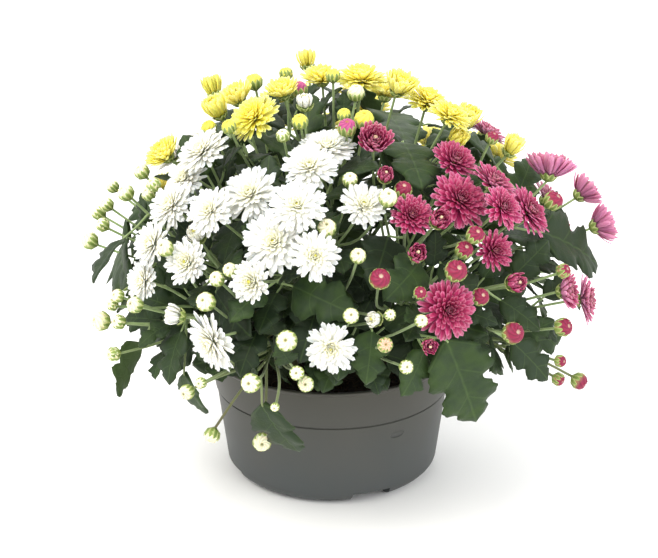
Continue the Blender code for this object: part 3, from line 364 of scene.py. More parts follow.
# Fine petals of an open bloom and of a closed cup: share from the outermost to the innermost, then
# length, width, foot radius and foot height in radii of the flower, and the rib's rise at both its ends
OPEN_PETALS = (
    (0.00, 0.96, 0.190, 0.16, -0.08, 7, -2),
    (0.24, 0.90, 0.185, 0.15, -0.03, 14, 6),
    (0.44, 0.73, 0.172, 0.13, 0.02, 23, 18),
    (0.62, 0.55, 0.156, 0.11, 0.07, 33, 34),
    (0.78, 0.38, 0.136, 0.09, 0.11, 45, 56),
    (0.90, 0.26, 0.112, 0.06, 0.14, 58, 82),
    (1.00, 0.17, 0.086, 0.04, 0.15, 72, 110),
)
CLOSED_PETALS = (
    (0.00, 1.30, 0.32, 0.20, -0.20, 14, 118),
    (0.30, 1.20, 0.30, 0.17, -0.14, 26, 124),
    (0.60, 1.00, 0.25, 0.13, -0.06, 42, 128),
    (0.85, 0.76, 0.20, 0.08, 0.02, 60, 130),
    (1.00, 0.50, 0.14, 0.05, 0.06, 76, 130),
)
CLOSED_AT = 0.42
PETAL_OUTLINE = ((0.0, 0.42), (0.34, 0.72), (0.70, 1.0), (0.92, 0.84), (1.0, 0.40))
PETAL_CHANNEL = 0.22
PETAL_THICKNESS = 0.00035
PETAL_COUNTS = ((0.0195, 116), (0.0165, 100), (0.0120, 84), (0.0, 44))
PETAL_SEED = 7

# How much petals differ: their slopes at the foot and at the tip in degrees, shares of their length and
# width, and how far each turns round the flower and rolls about its own rib
PETAL_FOOT_SWAY = 5
PETAL_TIP_SWAY = 9
PETAL_LENGTHS = (0.86, 1.02)
PETAL_WIDTHS = (0.84, 1.10)
PETAL_TURN = 0.11
PETAL_ROLL = 0.25

# How far the corners of a petal's or a bract's tip are drawn back, as a share of its length
TIP_CORNERS = 0.05

# How much higher than the marks each colour's blooms are domed
PETAL_DOME = {"white": 1.05, "yellow": 1.40, "magenta": 1.10}

# Magenta blooms fade with age: the higher and the further right, the paler
FADE_START = Vector((0.05, 0, 0.15))
FADE_RATE = Vector((5.0, 0, 2.7))

# Flowers whose face the photograph shows turned another way than their stalk: facing and openness
TURNED_FLOWERS = {
    "flower 549 173": (Vector((0.20, 0.42, 0.88)), 0.80),
    "flower 581 194": (Vector((0.80, 0.25, 0.55)), 0.76),
    "flower 597 226": (Vector((0.92, 0.20, 0.30)), 0.78),
    "flower 262 442": (Vector((0.05, -0.98, 0.10)), 0.0),
}

# Bracts: the green scales under a bloom and round a bud
BRACT_OUTLINE = ((0.0, 0.60), (0.45, 1.0), (0.80, 0.75), (1.0, 0.20))
BRACT_THICKNESS = 0.0003
WHORL_BRACTS = 8
BUD_BRACTS = 10

# A bud's folded petals: how many show, the columns of each, and how far one lies over the next
BUD_PETALS = 8
BUD_COLUMNS = 5
BUD_ROWS = 12
BUD_LAP = 0.05
BUD_CROWN_LAP = 0.10
BUD_DIMPLE = 0.34

# Buds that the photograph shows flushed with pink, by its pixels
ROSY_BUDS = ("flower 299 90", "flower 347 128", "flower 385 345")

# Fine leaf: half of its toothed outline, as shares of its length along and across
LEAF_TEETH = (
    (0.00, 0.025), (0.05, 0.130), (0.10, 0.230), (0.15, 0.305), (0.19, 0.290), (0.24, 0.350),
    (0.29, 0.335), (0.34, 0.375), (0.39, 0.330), (0.43, 0.215), (0.47, 0.205), (0.52, 0.285),
    (0.57, 0.285), (0.62, 0.335), (0.66, 0.305), (0.70, 0.295), (0.74, 0.205), (0.78, 0.165),
    (0.83, 0.185), (0.88, 0.145), (0.92, 0.115), (0.96, 0.060), (1.00, 0.012),
)
LARGE_LEAF = 0.0600
LEAF_SWEEP = 0.07
LEAF_QUILT = 0.016
LEAF_WAVE = 0.020
LEAF_CURL = 0.05

# What each vertex carries for the finishes: shares along and across, side, layer and a random tone
SHARES = ("along", "across", "under", "depth", "tone")

# Petal, floret and bud colours, as sRGB hex values
PETAL_COLOURS = {
    "white": {
        "outer": "FDFCF1", "faded": "FEFDF6", "inner": "FAF6CC",
        "foot": "F4F4D2", "tip": "FEFEF9", "reverse": "FAF8EA",
    },
    "yellow": {
        "outer": "FFF25A", "faded": "FDEB4A", "inner": "FBE030",
        "foot": "F6DC3A", "tip": "FFFBA4", "reverse": "FBF070",
    },
    "magenta": {
        "outer": "8E0C34", "faded": "BC2E6A", "inner": "6E0C28",
        "foot": "84123A", "tip": "DE86AE", "reverse": "D287AF",
    },
}

# The button of an open bloom and of a cup, and the painted shade in the crevices between its florets
EYE_COLOURS = {
    "white": ("C3BE48", "D8D26A"),
    "yellow": ("D9AA10", "D9AA10"),
    "magenta": ("8A3038", "F2DCB4"),
}
EYE_CREVICE_SHADES = {"white": "7A782A", "yellow": "8A6A0C", "magenta": "5A1A24"}

# A bud from its crown to its foot, the middle of its crown, and the blush of a rosy one
BUD_COLOURS = {
    "white": {"crown": "F5F1CE", "foot": "9FAE4A", "centre": "8D8A3C", "blush": "E8B49A"},
    "yellow": {"crown": "F4E85C", "foot": "9CAC42", "centre": "B8921E", "blush": "AE4A7E"},
    "magenta": {"crown": "8E1F45", "foot": "B9BE74", "centre": "F2DDBE", "blush": "C9608C"},
}

# The picture: its size in pixels, the sensor's width in mm, and half of the floor's width
PHOTO_WIDTH, PHOTO_HEIGHT = 658, 558
SENSOR_WIDTH = 36.0
FLOOR_HALF = 8.0

# The lamps: place, the place that each faces, width in metres, watts and colour; and the pale room
LAMPS = {
    "key_lamp": ((-0.9, -0.9, 1.9), (0, 0, 0.2), 1.3, 38, "FFFBF4"),
    "fill_lamp": ((1.4, -1.1, 0.9), (0, 0, 0.2), 1.4, 14, "FAFBFF"),
    "rear_lamp": ((0.3, 1.5, 1.6), (0, 0, 0.25), 1.2, 14, "FFFFFF"),
}
ROOM_COLOUR = "FFFFFF"
ROOM_STRENGTH = 1.15

# The sockets of a node that mixes two colours
MIX_FACTOR, MIX_FIRST, MIX_SECOND, MIX_RESULT = 0, 6, 7, 2


@dataclass
class Flower:
    """A bloom, cup or bud: its place, the way it faces, and the node that it belongs to."""

    name: str
    colour: str
    kind: str
    centre: Vector
    axis: Vector
    radius: float
    openness: float
    key: str

    def left_to_the_fine_model(self):
        """Whether this is a bud too small to have a solid of its own."""
        return self.kind == "bud" and self.radius < SMALLEST_SOLID_BUD / 2

    def seat(self):
        """Where the stalk's flared end meets the flower."""
        depth = SEAT_DEPTH * self.radius if self.kind != "bud" else self.radius
        return self.centre - self.axis * depth


@dataclass
class Stem:
    """A round stem along a smooth line of points."""

    name: str
    colour: str
    points: list
    radius: float
    end_radius: float
    flower: object = None

    def along(self, share):
        """The place at a share of the stem's length, and the direction in which it grows there."""
        spans = len(self.points) - 1
        index = min(int(share * spans), spans - 1)
        first, second = self.points[index], self.points[index + 1]
        return first.lerp(second, share * spans - index), (second - first).normalized()


@dataclass
class Leaf:
    """A blade with its own short stalk: base, direction along the rib, upper side and length."""

    stem: object
    root: Vector
    base: Vector
    along: Vector
    upper: Vector
    length: float
    side: Vector = field(init=False)

    def __post_init__(self):
        self.upper = (self.upper - self.along * self.upper.dot(self.along)).normalized()
        self.side = self.along.cross(self.upper)

    def point(self, along, across, raised=0.0):
        """A place on the blade, from shares of its length, arched along the rib and folded up from it."""
        lift = LEAF_FOLD * abs(across) - LEAF_DROOP * along * along
        flat = self.along * along + self.side * across + self.upper * lift
        return self.base + flat * self.length + self.upper * raised


def sight_line(x, y):
    """The eye's place and the direction in which it sees a pixel of the photograph."""
    forward = Vector((0, math.cos(EYE_RISE), -math.sin(EYE_RISE)))
    upward = Vector((0, math.sin(EYE_RISE), math.cos(EYE_RISE)))
    eye = EYE_AIM - forward * EYE_DISTANCE
    right = (x - EYE_MIDDLE_PX[0]) / EYE_FOCAL_PX
    down = (y - EYE_MIDDLE_PX[1]) / EYE_FOCAL_PX
    return eye, (forward + Vector((right, 0, 0)) - upward * down).normalized()


def head_share(place):
    """How far out a place lies, as a share of the head's radius in its direction."""
    out = place - HEAD_CENTRE
    tall = HEAD_RISE if out.z > 0 else HEAD_SAG
    return math.sqrt((out.x / HEAD_RADIUS_X) ** 2 + (out.y / HEAD_RADIUS_Y) ** 2 + (out.z / tall) ** 2)


def head_normal(place):
    """The outward direction of the head's surface through a place."""
    out = place - HEAD_CENTRE
    tall = HEAD_RISE if out.z > 0 else HEAD_SAG
    return Vector((out.x / HEAD_RADIUS_X**2, out.y / HEAD_RADIUS_Y**2, out.z / tall**2)).normalized()


def seen_place(x, y, share=1.0):
    """Where a pixel's sight line first meets the head at a share of its radius, or passes closest."""
    eye, direction = sight_line(x, y)
    best = None
    for count in range(SIGHT_STEPS):
        place = eye + direction * (EYE_DISTANCE - SIGHT_BEFORE + SIGHT_STEP * count)
        found = head_share(place)
        if best is None or found < best[0]:
            best = (found, place)
        if found <= share:
            break
    return best[1]


def turned(axis, right_degrees, lift_degrees):
    """An outward direction, turned to the right as the eye sees it, then lifted."""
    axis = Matrix.Rotation(math.radians(right_degrees), 3, "Z") @ axis
    level = axis.cross(UP)
    if level.length < 1e-3:
        return axis
    return (Matrix.Rotation(math.radians(lift_degrees), 3, level.normalized()) @ axis).normalized()


def curve_points(controls, count):
    """Points along a Bezier curve through the first and last of its controls."""
    found = []
    for index in range(count):
        share = index / (count - 1)
        level = [c.copy() for c in controls]
        while len(level) > 1:
            level = [a.lerp(b, share) for a, b in zip(level, level[1:])]
        found.append(level[0])
    return found


class Room:
    """What is already taken, as beads: a piece is free where none of its beads touches another's."""

    def __init__(self):
        self.places = np.zeros((0, 3))
        self.radii = np.zeros(0)
        self.owners = np.zeros(0, int)
        self.names = []

    def number(self, owner):
        """An owner's number, which it gets when it is first named."""
        if owner not in self.names:
            self.names.append(owner)
        return self.names.index(owner)

    def add(self, beads, owner):
        """Takes the room of an owner's beads."""
        places, radii = beads
        self.places = np.vstack([self.places, places])
        self.radii = np.concatenate([self.radii, radii])
        self.owners = np.concatenate([self.owners, np.full(len(radii), self.number(owner))])

    def drop(self, owner):
        """Gives the room of an owner's beads back."""
        keep = self.owners != self.number(owner)
        self.places = self.places[keep]
        self.radii = self.radii[keep]
        self.owners = self.owners[keep]

    def stems_of(self, colour):
        """The owner names of one plant's stems."""
        return [name for name in self.names if name.startswith(f"{colour} ")]

    def clash(self, beads, ignored=()):
        """The deepest overlap of these beads with other owners' beads, below zero where all are clear."""
        places, radii = beads
        low, high = places.min(axis=0) - BEAD_REACH, places.max(axis=0) + BEAD_REACH
        near = ((self.places > low) & (self.places < high)).all(axis=1)
        keep = near & ~np.isin(self.owners, [self.number(owner) for owner in ignored])
        if not keep.any():
            return -1.0
        apart = np.linalg.norm(places[:, None] - self.places[keep][None], axis=2)
        return float((radii[:, None] + self.radii[keep][None] - apart).max())


def pot_clash(beads):
    """How far beads reach into the pot's wall or the soil, below zero where they are clear."""
    places, radii = beads
    across = np.hypot(places[:, 0], places[:, 1])
    over_soil = np.where(across < POT_RIM_RADIUS, SOIL_TOP + SOIL_CROWN + radii - places[:, 2], -1.0)
    over_rim = POT_HEIGHT + radii - places[:, 2]
    into_rim = radii - np.abs(across - POT_RIM_RADIUS) + POT_WALL
    return float(max(over_soil.max(), np.minimum(over_rim, into_rim).max()))


def beads_of(points, radii):
    """Beads as arrays of their places and of their radii."""
    return np.array([tuple(p) for p in points]), np.array(radii, float)


def flower_beads(flower):
    """A flower as beads: a ball for a bud, or rings along its outer petals round a filled middle."""
    radius = flower.radius
    if flower.kind == "bud":
        return beads_of([flower.centre], [radius * 1.05])
    across = flower.axis.orthogonal().normalized()
    closed = 1 - flower.openness
    length, foot, height = OUTER_PETAL
    angle = math.radians(OUTER_RISE[0] + OUTER_RISE[1] * closed)
    points = [flower.centre + flower.axis * (0.10 + 0.30 * closed) * radius]
    radii = [0.26 * radius]
    for share, size, raised, count in BEAD_RINGS:
        out = foot + length * share * math.cos(angle)
        up = height + length * share * math.sin(angle) + raised
        for index in range(count):
            turn = Matrix.Rotation(index * 2 * math.pi / count, 3, flower.axis)
            points.append(flower.centre + (turn @ across * out + flower.axis * up) * radius)
            radii.append(size * radius)
    for depth in CALYX_BEADS:
        points.append(flower.centre - flower.axis * depth * radius)
        radii.append(0.12 * radius)
    return beads_of(points, radii)


def stem_beads(stem):
    """Beads every few millimetres along a stem, leaving out the end that meets its flower."""
    points, radii = [], []
    last = len(stem.points) - 1
    for index, (a, b) in enumerate(zip(stem.points, stem.points[1:])):
        count = max(1, int((b - a).length / STEM_BEAD_STEP))
        for step in range(count):
            share = (index + step / count) / last
            points.append(a.lerp(b, step / count))
            radii.append(stem.radius + (stem.end_radius - stem.radius) * share + STEM_BEAD_MARGIN)
    return beads_of(points, radii)


def leaf_width(along):
    """Half of the blade's width at a share of its length, both as shares of the length."""
    marks = LEAF_OUTLINE + ((1.0, 0.0),)
    return float(np.interp(along, [mark[0] for mark in marks], [mark[1] for mark in marks]))


def leaf_beads(leaf):
    """Beads all over a blade, out to its lobes, and along its stalk."""
    points = [leaf.root.lerp(leaf.base, share) for share in (0.4, 0.6, 0.8, 1.0)]
    radii = [0.0016] * len(points)
    for row in range(13):
        along = 0.02 + LEAF_BEAD_STEP * row
        width = leaf_width(along)
        steps = int(width / LEAF_BEAD_STEP)
        inner = {LEAF_BEAD_STEP * step for step in range(-steps, steps + 1)}
        for across in inner | {width * 0.94, -width * 0.94}:
            points.append(leaf.point(along, across))
            radii.append(LEAF_BEAD_SIZE * leaf.length)
    return beads_of(points, radii)


def place_clear(flower, room):
    """Moves a flower along its sight line until it is clear of the others, or else makes it smaller."""
    eye, _ = sight_line(*EYE_MIDDLE_PX)
    start = flower.centre
    sight = (start - eye).normalized()
    for _ in range(PLACING_ROUNDS):
        for count in range(PLACING_STEPS):
            for sign in ((0,) if count == 0 else (1, -1)):
                flower.centre = start - sight * sign * count * PLACING_STEP
                if room.clash(flower_beads(flower)) < -BLOOM_GAP:
                    return
        flower.radius *= PLACING_SHRINK
    flower.centre = start


def settle(flowers, room):
    """Places flowers, the widest first, each clear of those before it."""
    for flower in sorted(flowers, key=lambda f: -f.radius):
        place_clear(flower, room)
        room.add(flower_beads(flower), flower.key)


def read_flowers():
    """The flowers of the photograph, each on its sight line, and how many open blooms each plant has."""
    flowers = []
    counts = {colour: 0 for colour in PLANTS}
    for kind, rows in (("bloom", OPEN_BLOOMS), ("cup", CUPS)):
        for colour, x, y, width, openness, right, lift in rows:
            place = seen_place(x, y)
            axis = turned(head_normal(place), right, lift)
            name = f"{colour}_plant"
            if kind == "bloom":
                counts[colour] += 1
                name = f"{colour}_bloom_{counts[colour]:02d}"
            key = f"flower {x} {y}"
            flowers.append(Flower(name, colour, kind, place, axis, width / 2000, openness, key))
    for colour, x, y, width in BUDS:
        place = seen_place(x, y, BUD_SHARE)
        axis = (head_normal(place) + UP * 0.3).normalized()
        key = f"flower {x} {y}"
        flowers.append(Flower(f"{colour}_plant", colour, "bud", place, axis, width / 2000, 0, key))
    return flowers, counts


def back_colour(place):
    """The colour that grows in a direction from the pot's middle."""
    bearing = math.degrees(math.atan2(place.y, place.x))
    if 28 < bearing < 150:
        return "yellow"
    return "magenta" if abs(bearing) < 90 else "white"


def back_place(index, total):
    """A place on the far side of the head, on a spiral that spreads evenly from its top to its hem."""
    level = 1 - (index + 0.5) / total * 1.25
    tall = HEAD_RISE if level > 0 else HEAD_SAG
    ring = math.sqrt(max(0.0, 1 - level * level))
    bearing = index * GOLDEN_ANGLE
    across = Vector((HEAD_RADIUS_X * math.cos(bearing), HEAD_RADIUS_Y * math.sin(bearing), 0)) * ring
    return HEAD_CENTRE + (across + UP * tall * level) * BACK_SHARE


def hidden_places(total, least):
    """Places on the far side, whose outward direction turns away from the eye by at least that much."""
    eye, _ = sight_line(*EYE_MIDDLE_PX)
    places = [back_place(index, total) for index in range(total)]
    return [p for p in places if head_normal(p).dot((eye - p).normalized()) < -least]


def back_pairs(counts, room):
    """Pairs of blooms that grow into each other, wherever one fits on the far side."""
    draw = random.Random(BACK_SEED)
    pairs = []
    for place in hidden_places(*BACK_BLOOM_PLACES):
        colour = back_colour(place)
        normal = head_normal(place)
        radius = draw.uniform(*BACK_RADII)
        swing = Matrix.Rotation(draw.uniform(0, math.pi), 3, normal) @ normal.orthogonal().normalized()
        name = f"{colour}_bloom_{counts[colour] + 1:02d}"
        pair = []
        for side, size in ((-1, 1.0), (1, draw.uniform(*BACK_PARTNER))):
            spot = place + swing * side * radius * BACK_SPREAD
            axis = (head_normal(spot) + UP * 0.1).normalized()
            key = f"flower {name} {side}"
            pair.append(Flower(name, colour, "bloom", spot, axis, radius * size, 0.97, key))
        if max(room.clash(flower_beads(f)) for f in pair) < -BLOOM_GAP:
            for flower in pair:
                room.add(flower_beads(flower), flower.key)
            counts[colour] += 1
            pairs.append(pair)
        if len(pairs) == BACK_PAIRS:
            break
    return [flower for pair in pairs for flower in pair]


def back_buds():
    """Buds spread over the far side."""
    draw = random.Random(BACK_SEED)
    buds = []
    for place in draw.sample(hidden_places(*BACK_BUD_PLACES), BACK_BUDS):
        colour = back_colour(place)
        key = f"flower {len(buds)} behind"
        radius = draw.uniform(*BACK_BUD_RADII)
        buds.append(Flower(f"{colour}_plant", colour, "bud", place, head_normal(place), radius, 0, key))
    return buds


def sprays_of(flowers, count):
    """Flowers gathered round as many centres, found from the ones that lie farthest apart."""
    ends = [f.seat() for f in flowers]
    centres = [max(ends, key=lambda p: p.z)]
    while len(centres) < count:
        centres.append(max(ends, key=lambda p: min((p - c).length for c in centres)))
    for _ in range(SPRAY_ROUNDS):
        groups = [[] for _ in centres]
        for flower, end in zip(flowers, ends):
            nearest = min(range(len(centres)), key=lambda i: (end - centres[i]).length)
            groups[nearest].append(flower)
        centres = [
            sum((f.seat() for f in group), Vector()) / len(group) if group else centre
            for group, centre in zip(groups, centres)
        ]
    return [group for group in groups if group]


def grow_branches(colour, flowers, room):
    """A plant's main stem and branches, with the branch and the place on it that bears each flower."""
    foot = Vector((*PLANTS[colour]["foot"], SOIL_TOP - STEM_HOLE_DEPTH))
    crown = Vector((foot.x, foot.y, SOIL_TOP + SOIL_CROWN + CROWN_RISE))
    path = [foot, foot.lerp(crown, 0.5), crown]
    stems = [Stem(f"{colour} stem", colour, path, STEM_RADIUS, STEM_RADIUS * 0.9)]
    bearers = {}
    for number, spray in enumerate(sprays_of(flowers, PLANTS[colour]["branches"])):
        branch = best_branch(f"{colour} branch {number}", colour, crown, spray, room)
        room.add(stem_beads(branch), branch.name)
        stems.append(branch)
        ranked = sorted(spray, key=lambda f: (f.seat() - branch.points[-1]).length)
        for rank, flower in enumerate(ranked):
            bearers[flower.key] = (branch, 0.98 - 0.50 * rank / len(ranked))
    return stems, bearers


def grow_stalks(flowers, bearers, room):
    """A stalk to each flower; a bud that none reaches is taken away."""
    stalks = []
    for flower in list(flowers):
        stalk = best_stalk(*bearers[flower.key], flower, room)
        if stalk:
            stalks.append(stalk)
            room.add(stem_beads(stalk), stalk.name)
        else:
            flowers.remove(flower)
            room.drop(flower.key)
    return stalks


def best_branch(name, colour, crown, spray, room):
    """The branch from a plant's crown towards a spray of flowers that keeps clearest of other plants."""
    middle = sum((f.seat() for f in spray), Vector()) / len(spray)
    reach = (middle - crown).length
    across = (middle - crown).cross(UP).normalized()
    found = []
    for rise, swing, length in product(BRANCH_RISES, BRANCH_SWINGS, BRANCH_REACHES):
        bend = crown.lerp(middle, 0.22) + (UP * rise + across * swing) * reach
        path = curve_points([crown - UP * 0.004, bend, crown.lerp(middle, length)], 5)
        stem = Stem(name, colour, path, BRANCH_RADIUS, STALK_RADIUS * 1.3)
        found.append((room.clash(stem_beads(stem), room.stems_of(colour)), stem))
        if found[-1][0] < -STEM_GAP:
            return stem
    return min(found, key=lambda pair: pair[0])[1]


def best_stalk(branch, share, flower, room, always=False):
    """The stalk from a branch to a flower that keeps clearest of the pot and of other pieces."""
    gap = TOUCH_GAP if flower.kind == "bloom" else -0.12 * flower.radius
    end = flower.seat() - flower.axis * gap
    name = f"{branch.name} share {share:.3f}"
    best = None
    for nearer, bend, neck in product(STALK_STARTS, STALK_BENDS, STALK_NECKS):
        start, growth = branch.along(min(max(share + nearer, 0.2), 0.98))
        reach = (end - start).length
        toward = (end - start).normalized()
        inward = -head_normal(end)
        leave = growth * 0.10 + toward * 0.20 + UP * bend[0] + inward * bend[1]
        controls = [start, start + leave * reach, end - flower.axis * neck * reach, end]
        path = curve_points(controls, 2 if reach < 0.025 else 3 if reach < 0.075 else 4)
        stem = Stem(name, branch.colour, path, STALK_RADIUS * 1.15, STALK_RADIUS, flower)
        beads = stem_beads(stem)
        free = (beads[0][3:], beads[1][3:]) if len(beads[1]) > 4 else beads
        others = room.clash(beads, room.stems_of(branch.colour) + [flower.key])
        clash = max(others, room.clash(free, (branch.name, flower.key)), pot_clash(beads))
        if best is None or clash < best[0]:
            best = (clash, stem)
        if clash < -STEM_GAP:
            break
    return best[1] if best[0] < -STEM_GAP or flower.kind != "bud" or always else None


def leaf_is_clear(leaf, room, ignored):
    """Whether a leaf stands clear of the pot and of every piece but those ignored."""
    beads = leaf_beads(leaf)
    return max(room.clash(beads, ignored), pot_clash(beads)) < 0


def seen_leaf(facts, stems, room):
    """One of the photograph's leaves, moved along its sight line to where it is clear, or else None."""
    colour, x0, y0, x1, y1, base_share, tip_share = facts
    own = [stem for stem in stems if stem.colour == colour]
    bearing = [stem for stem in own if not (stem.flower and stem.flower.left_to_the_fine_model())]
    for strict in (True, False):
        for deeper in LEAF_DEPTHS:
            base = seen_place(x0, y0, base_share - deeper)
            tip = seen_place(x1, y1, tip_share - deeper)
            stem, root = nearest_root(base, tip, bearing)
            leaf = leaf_between(stem, root, base, tip, head_normal(base.lerp(tip, 0.5)))
            ignored = [stem.name] if strict else [other.name for other in own]
            if leaf_is_clear(leaf, room, ignored):
                return leaf
    return None


def grow_leaves(stems, room):
    """The photograph's large leaves, then more of them along the branches wherever one fits."""
    leaves = []
    for facts in SEEN_LEAVES:
        leaf = seen_leaf(facts, stems, room)
        if leaf:
            room.add(leaf_beads(leaf), f"leaf {len(leaves)}")
            leaves.append(leaf)
    draw = random.Random(FILL_SEED)
    branches = [stem for stem in stems if "branch" in stem.name and stem.flower is None]
    seen = len(leaves)
    for turn, (size, share, stem) in enumerate(product(FILL_LEAF_LENGTHS, FILL_LEAF_SHARES, branches), 1):
        if len(leaves) - seen == FILL_LEAVES:
            break
        leaf = fill_leaf(stem, share, turn, size * draw.uniform(0.92, 1.08))
        if head_share(leaf.point(1.0, 0.0)) < 1.0 and leaf_is_clear(leaf, room, [stem.name]):
            room.add(leaf_beads(leaf), f"leaf {len(leaves)}")
            leaves.append(leaf)
    return leaves


def add_late_buds(buds, bearers, room):
    """Stalks for the buds that the solids leave out, by the clearest way that is left."""
    stalks = []
    for bud in buds:
        place_clear(bud, room)
        stalk = best_stalk(*bearers[bud.key], bud, room, True)
        room.add(flower_beads(bud), bud.key)
        room.add(stem_beads(stalk), stalk.name)
        stalks.append(stalk)
    return stalks


def hides_pot(point):
    """Whether a point stands before the front of the pot, seen from the photograph's eye."""
    rise = math.tan(EYE_RISE)
    below_rim = point.z + point.y * rise < POT_HEIGHT - POT_RIM_RADIUS * rise + 0.004
    return below_rim and abs(point.x) < POT_RIM_RADIUS and point.y < 0


def grow_small_leaves(stems, leaves, room):
    """Smaller leaves all along the branches and stalks, wherever one is clear of everything."""
    draw = random.Random(LEAF_SEED)
    made = []
    for turn, (size, share, stem) in enumerate(product(SMALL_LEAF_LENGTHS, SMALL_LEAF_SHARES, stems), 1):
        leaf = fill_leaf(stem, share, turn, size * draw.uniform(0.9, 1.1))
        tip = leaf.point(1.0, 0.0)
        inside = head_share(tip) < 0.97 and tip.z > POT_HEIGHT and not hides_pot(tip)
        if inside and leaf_is_clear(leaf, room, [stem.name]):
            room.add(leaf_beads(leaf), f"leaf {len(leaves) + len(made)}")
            made.append(leaf)
        if len(made) == SMALL_LEAVES:
            break
    return made


def lay_out():
    """The places of all flowers, stems and leaves, each clear of the rest."""
    room = Room()
    flowers, counts = read_flowers()
    blooms = [f for f in flowers if f.kind != "bud"]
    buds = [f for f in flowers if f.kind == "bud"] + back_buds()
    settle(blooms, room)
    blooms += back_pairs(counts, room)
    stems, bearers = [], {}
    for colour in PLANTS:
        grown, borne = grow_branches(colour, [f for f in blooms + buds if f.colour == colour], room)
        stems += grown
        bearers.update(borne)
    stems += grow_stalks(blooms, bearers, room)
    settle(buds, room)
    wanted = list(buds)
    stems += grow_stalks(buds, bearers, room)
    leaves = grow_leaves(stems, room)
    late = add_late_buds([bud for bud in wanted if bud not in buds], bearers, room)
    stems += late
    buds += [stalk.flower for stalk in late]
    leaves += grow_small_leaves(stems, leaves, room)
    return blooms + buds, stems, leaves


def leaf_between(stem, root, base, tip, upper):
    """A leaf whose arched rib runs from one place to another."""
    chord = tip - base
    angle = math.atan(LEAF_DROOP)
    upper = (upper - chord * (upper.dot(chord) / chord.length_squared)).normalized()
    along = (chord.normalized() * math.cos(angle) + upper * math.sin(angle)).normalized()
    return Leaf(stem, root, base, along, upper, chord.length * math.cos(angle))


def nearest_root(base, tip, stems):
    """The stem and the place on it that a leaf's stalk springs from: near the blade's base, behind it."""
    best = None
    for stem, share in product(stems, ROOT_SHARES):
        place, _ = stem.along(share)
        score = (base - place).length
        if (base - place).dot(tip - base) < 0:
            score *= 2.0
        if head_share(place) > head_share(base):
            score *= 1.5
        if place.z > SOIL_TOP + SOIL_CROWN + 0.006 and (best is None or score < best[0]):
            best = (score, stem, place)
    return best[1:]


def fill_leaf(stem, share, turn, length):
    """A leaf on a branch, set round it by the golden angle and leaning outwards."""
    root, growth = stem.along(share)
    around = Matrix.Rotation(turn * GOLDEN_ANGLE, 3, growth) @ growth.orthogonal().normalized()
    outward = head_normal(root)
    along = (around * 0.9 + growth * 0.5 + outward * 0.6).normalized()
    upper = (outward + UP * 0.6 - along * 0.4).normalized()
    return Leaf(stem, root, root + along * LEAF_STALK, along, upper, length)


def new_shape():
    """An empty shape whose vertices carry the shares that the finishes read."""
    shape = bmesh.new()
    for name in SHARES:
        shape.verts.layers.float.new(name)
    return shape


def strap_layers(shape):
    """The layers that hold each vertex's shares along and across its piece."""
    return shape.verts.layers.float["along"], shape.verts.layers.float["across"]


def heading(turn):
    """The level direction at an angle round the upright axis."""
    return Vector((math.cos(turn), math.sin(turn), 0))


def mark(shape, verts, **shares):
    """Writes the same shares on vertices."""
    for name, value in shares.items():
        layer = shape.verts.layers.float[name]
        for vert in verts:
            vert[layer] = value


def new_object(name, data):
    """An object that shows a mesh, a curve, a lamp or a camera in the scene."""
    made = bpy.data.objects.new(name, data)
    bpy.context.scene.collection.objects.link(made)
    return made


def mesh_of(name, shape):
    """The mesh of a finished shape."""
    mesh = bpy.data.meshes.new(name)
    shape.to_mesh(mesh)
    shape.free()
    return mesh


def shown_mesh(item):
    """The mesh of an object as it shows, with a curve's thickness and what modifiers do to it."""
    graph = bpy.context.evaluated_depsgraph_get()
    return bpy.data.meshes.new_from_object(item.evaluated_get(graph))


def to_piece(name, shape, finishes, node):
    """A smooth piece made from a shape, which takes a solid's place in the object."""
    bmesh.ops.recalc_face_normals(shape, faces=shape.faces)
    settle_piece(name, mesh_of(name, shape), finishes, node)


def settle_piece(name, mesh, finishes, node):
    """A piece made from a mesh, which rides on the body and takes a solid's place."""
    mesh.shade_smooth()
    for finish in finishes:
        mesh.materials.append(finish)
    made = new_object(name, mesh)
    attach(made, "root")
    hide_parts(node)


def thicken(shape, thickness, turned_away=1.0):
    """Gives every sheet of a shape a second side and a rim, marked with how much it shows a reverse."""
    shape.normal_update()
    under = shape.verts.layers.float["under"]
    for part in bmesh.ops.extrude_face_region(shape, geom=shape.faces[:])["geom"]:
        if isinstance(part, bmesh.types.BMVert):
            part.co -= part.normal * thickness
            part[under] = turned_away


def rib_point(length, low, high, share):
    """How far out and up a rib is at a share of its length, and its slope there, from its end slopes."""
    slope = low + (high - low) * share
    if abs(high - low) < 0.001:
        return length * share * math.cos(low), length * share * math.sin(low), slope
    bend = length / (high - low)
    return bend * (math.sin(slope) - math.sin(low)), bend * (math.cos(low) - math.cos(slope)), slope


def add_strap(shape, place, outline, facts, turn, roll, channel, shares):
    """A strap-shaped sheet round the axis of a place: a petal or a bract, from its measures in metres."""
    length, width, foot, height, low, high = facts
    out = heading(turn)
    side = Vector((out.y, -out.x, 0))
    low, high = math.radians(low), math.radians(high)
    rows = len(outline) - 1
    verts = bmesh.ops.create_grid(shape, x_segments=2, y_segments=rows, size=1.0)["verts"]
    along, across = strap_layers(shape)
    for vert in verts:
        share, broad = outline[round((vert.co.y + 1) / 2 * rows)]
        lateral = vert.co.x * broad * width / 2
        lifted = abs(vert.co.x) * channel * broad * width / 2 + lateral * roll
        drawn_back = TIP_CORNERS * abs(vert.co.x) if share == 1.0 else 0.0
        reach, rise, slope = rib_point(length, low, high, share - drawn_back)
        vert[along] = share
        vert[across] = vert.co.x
        spot = out * (foot + reach - math.sin(slope) * lifted) + side * lateral
        vert.co = place @ (spot + UP * (height + rise + math.cos(slope) * lifted))
    mark(shape, verts, **shares)


def flower_place(flower):
    """The matrix that takes +Z to the way that a flower faces, and the origin to its centre."""
    facing = flower.axis.to_track_quat("Z", "Y").to_matrix().to_4x4()
    return Matrix.Translation(flower.centre) @ facing


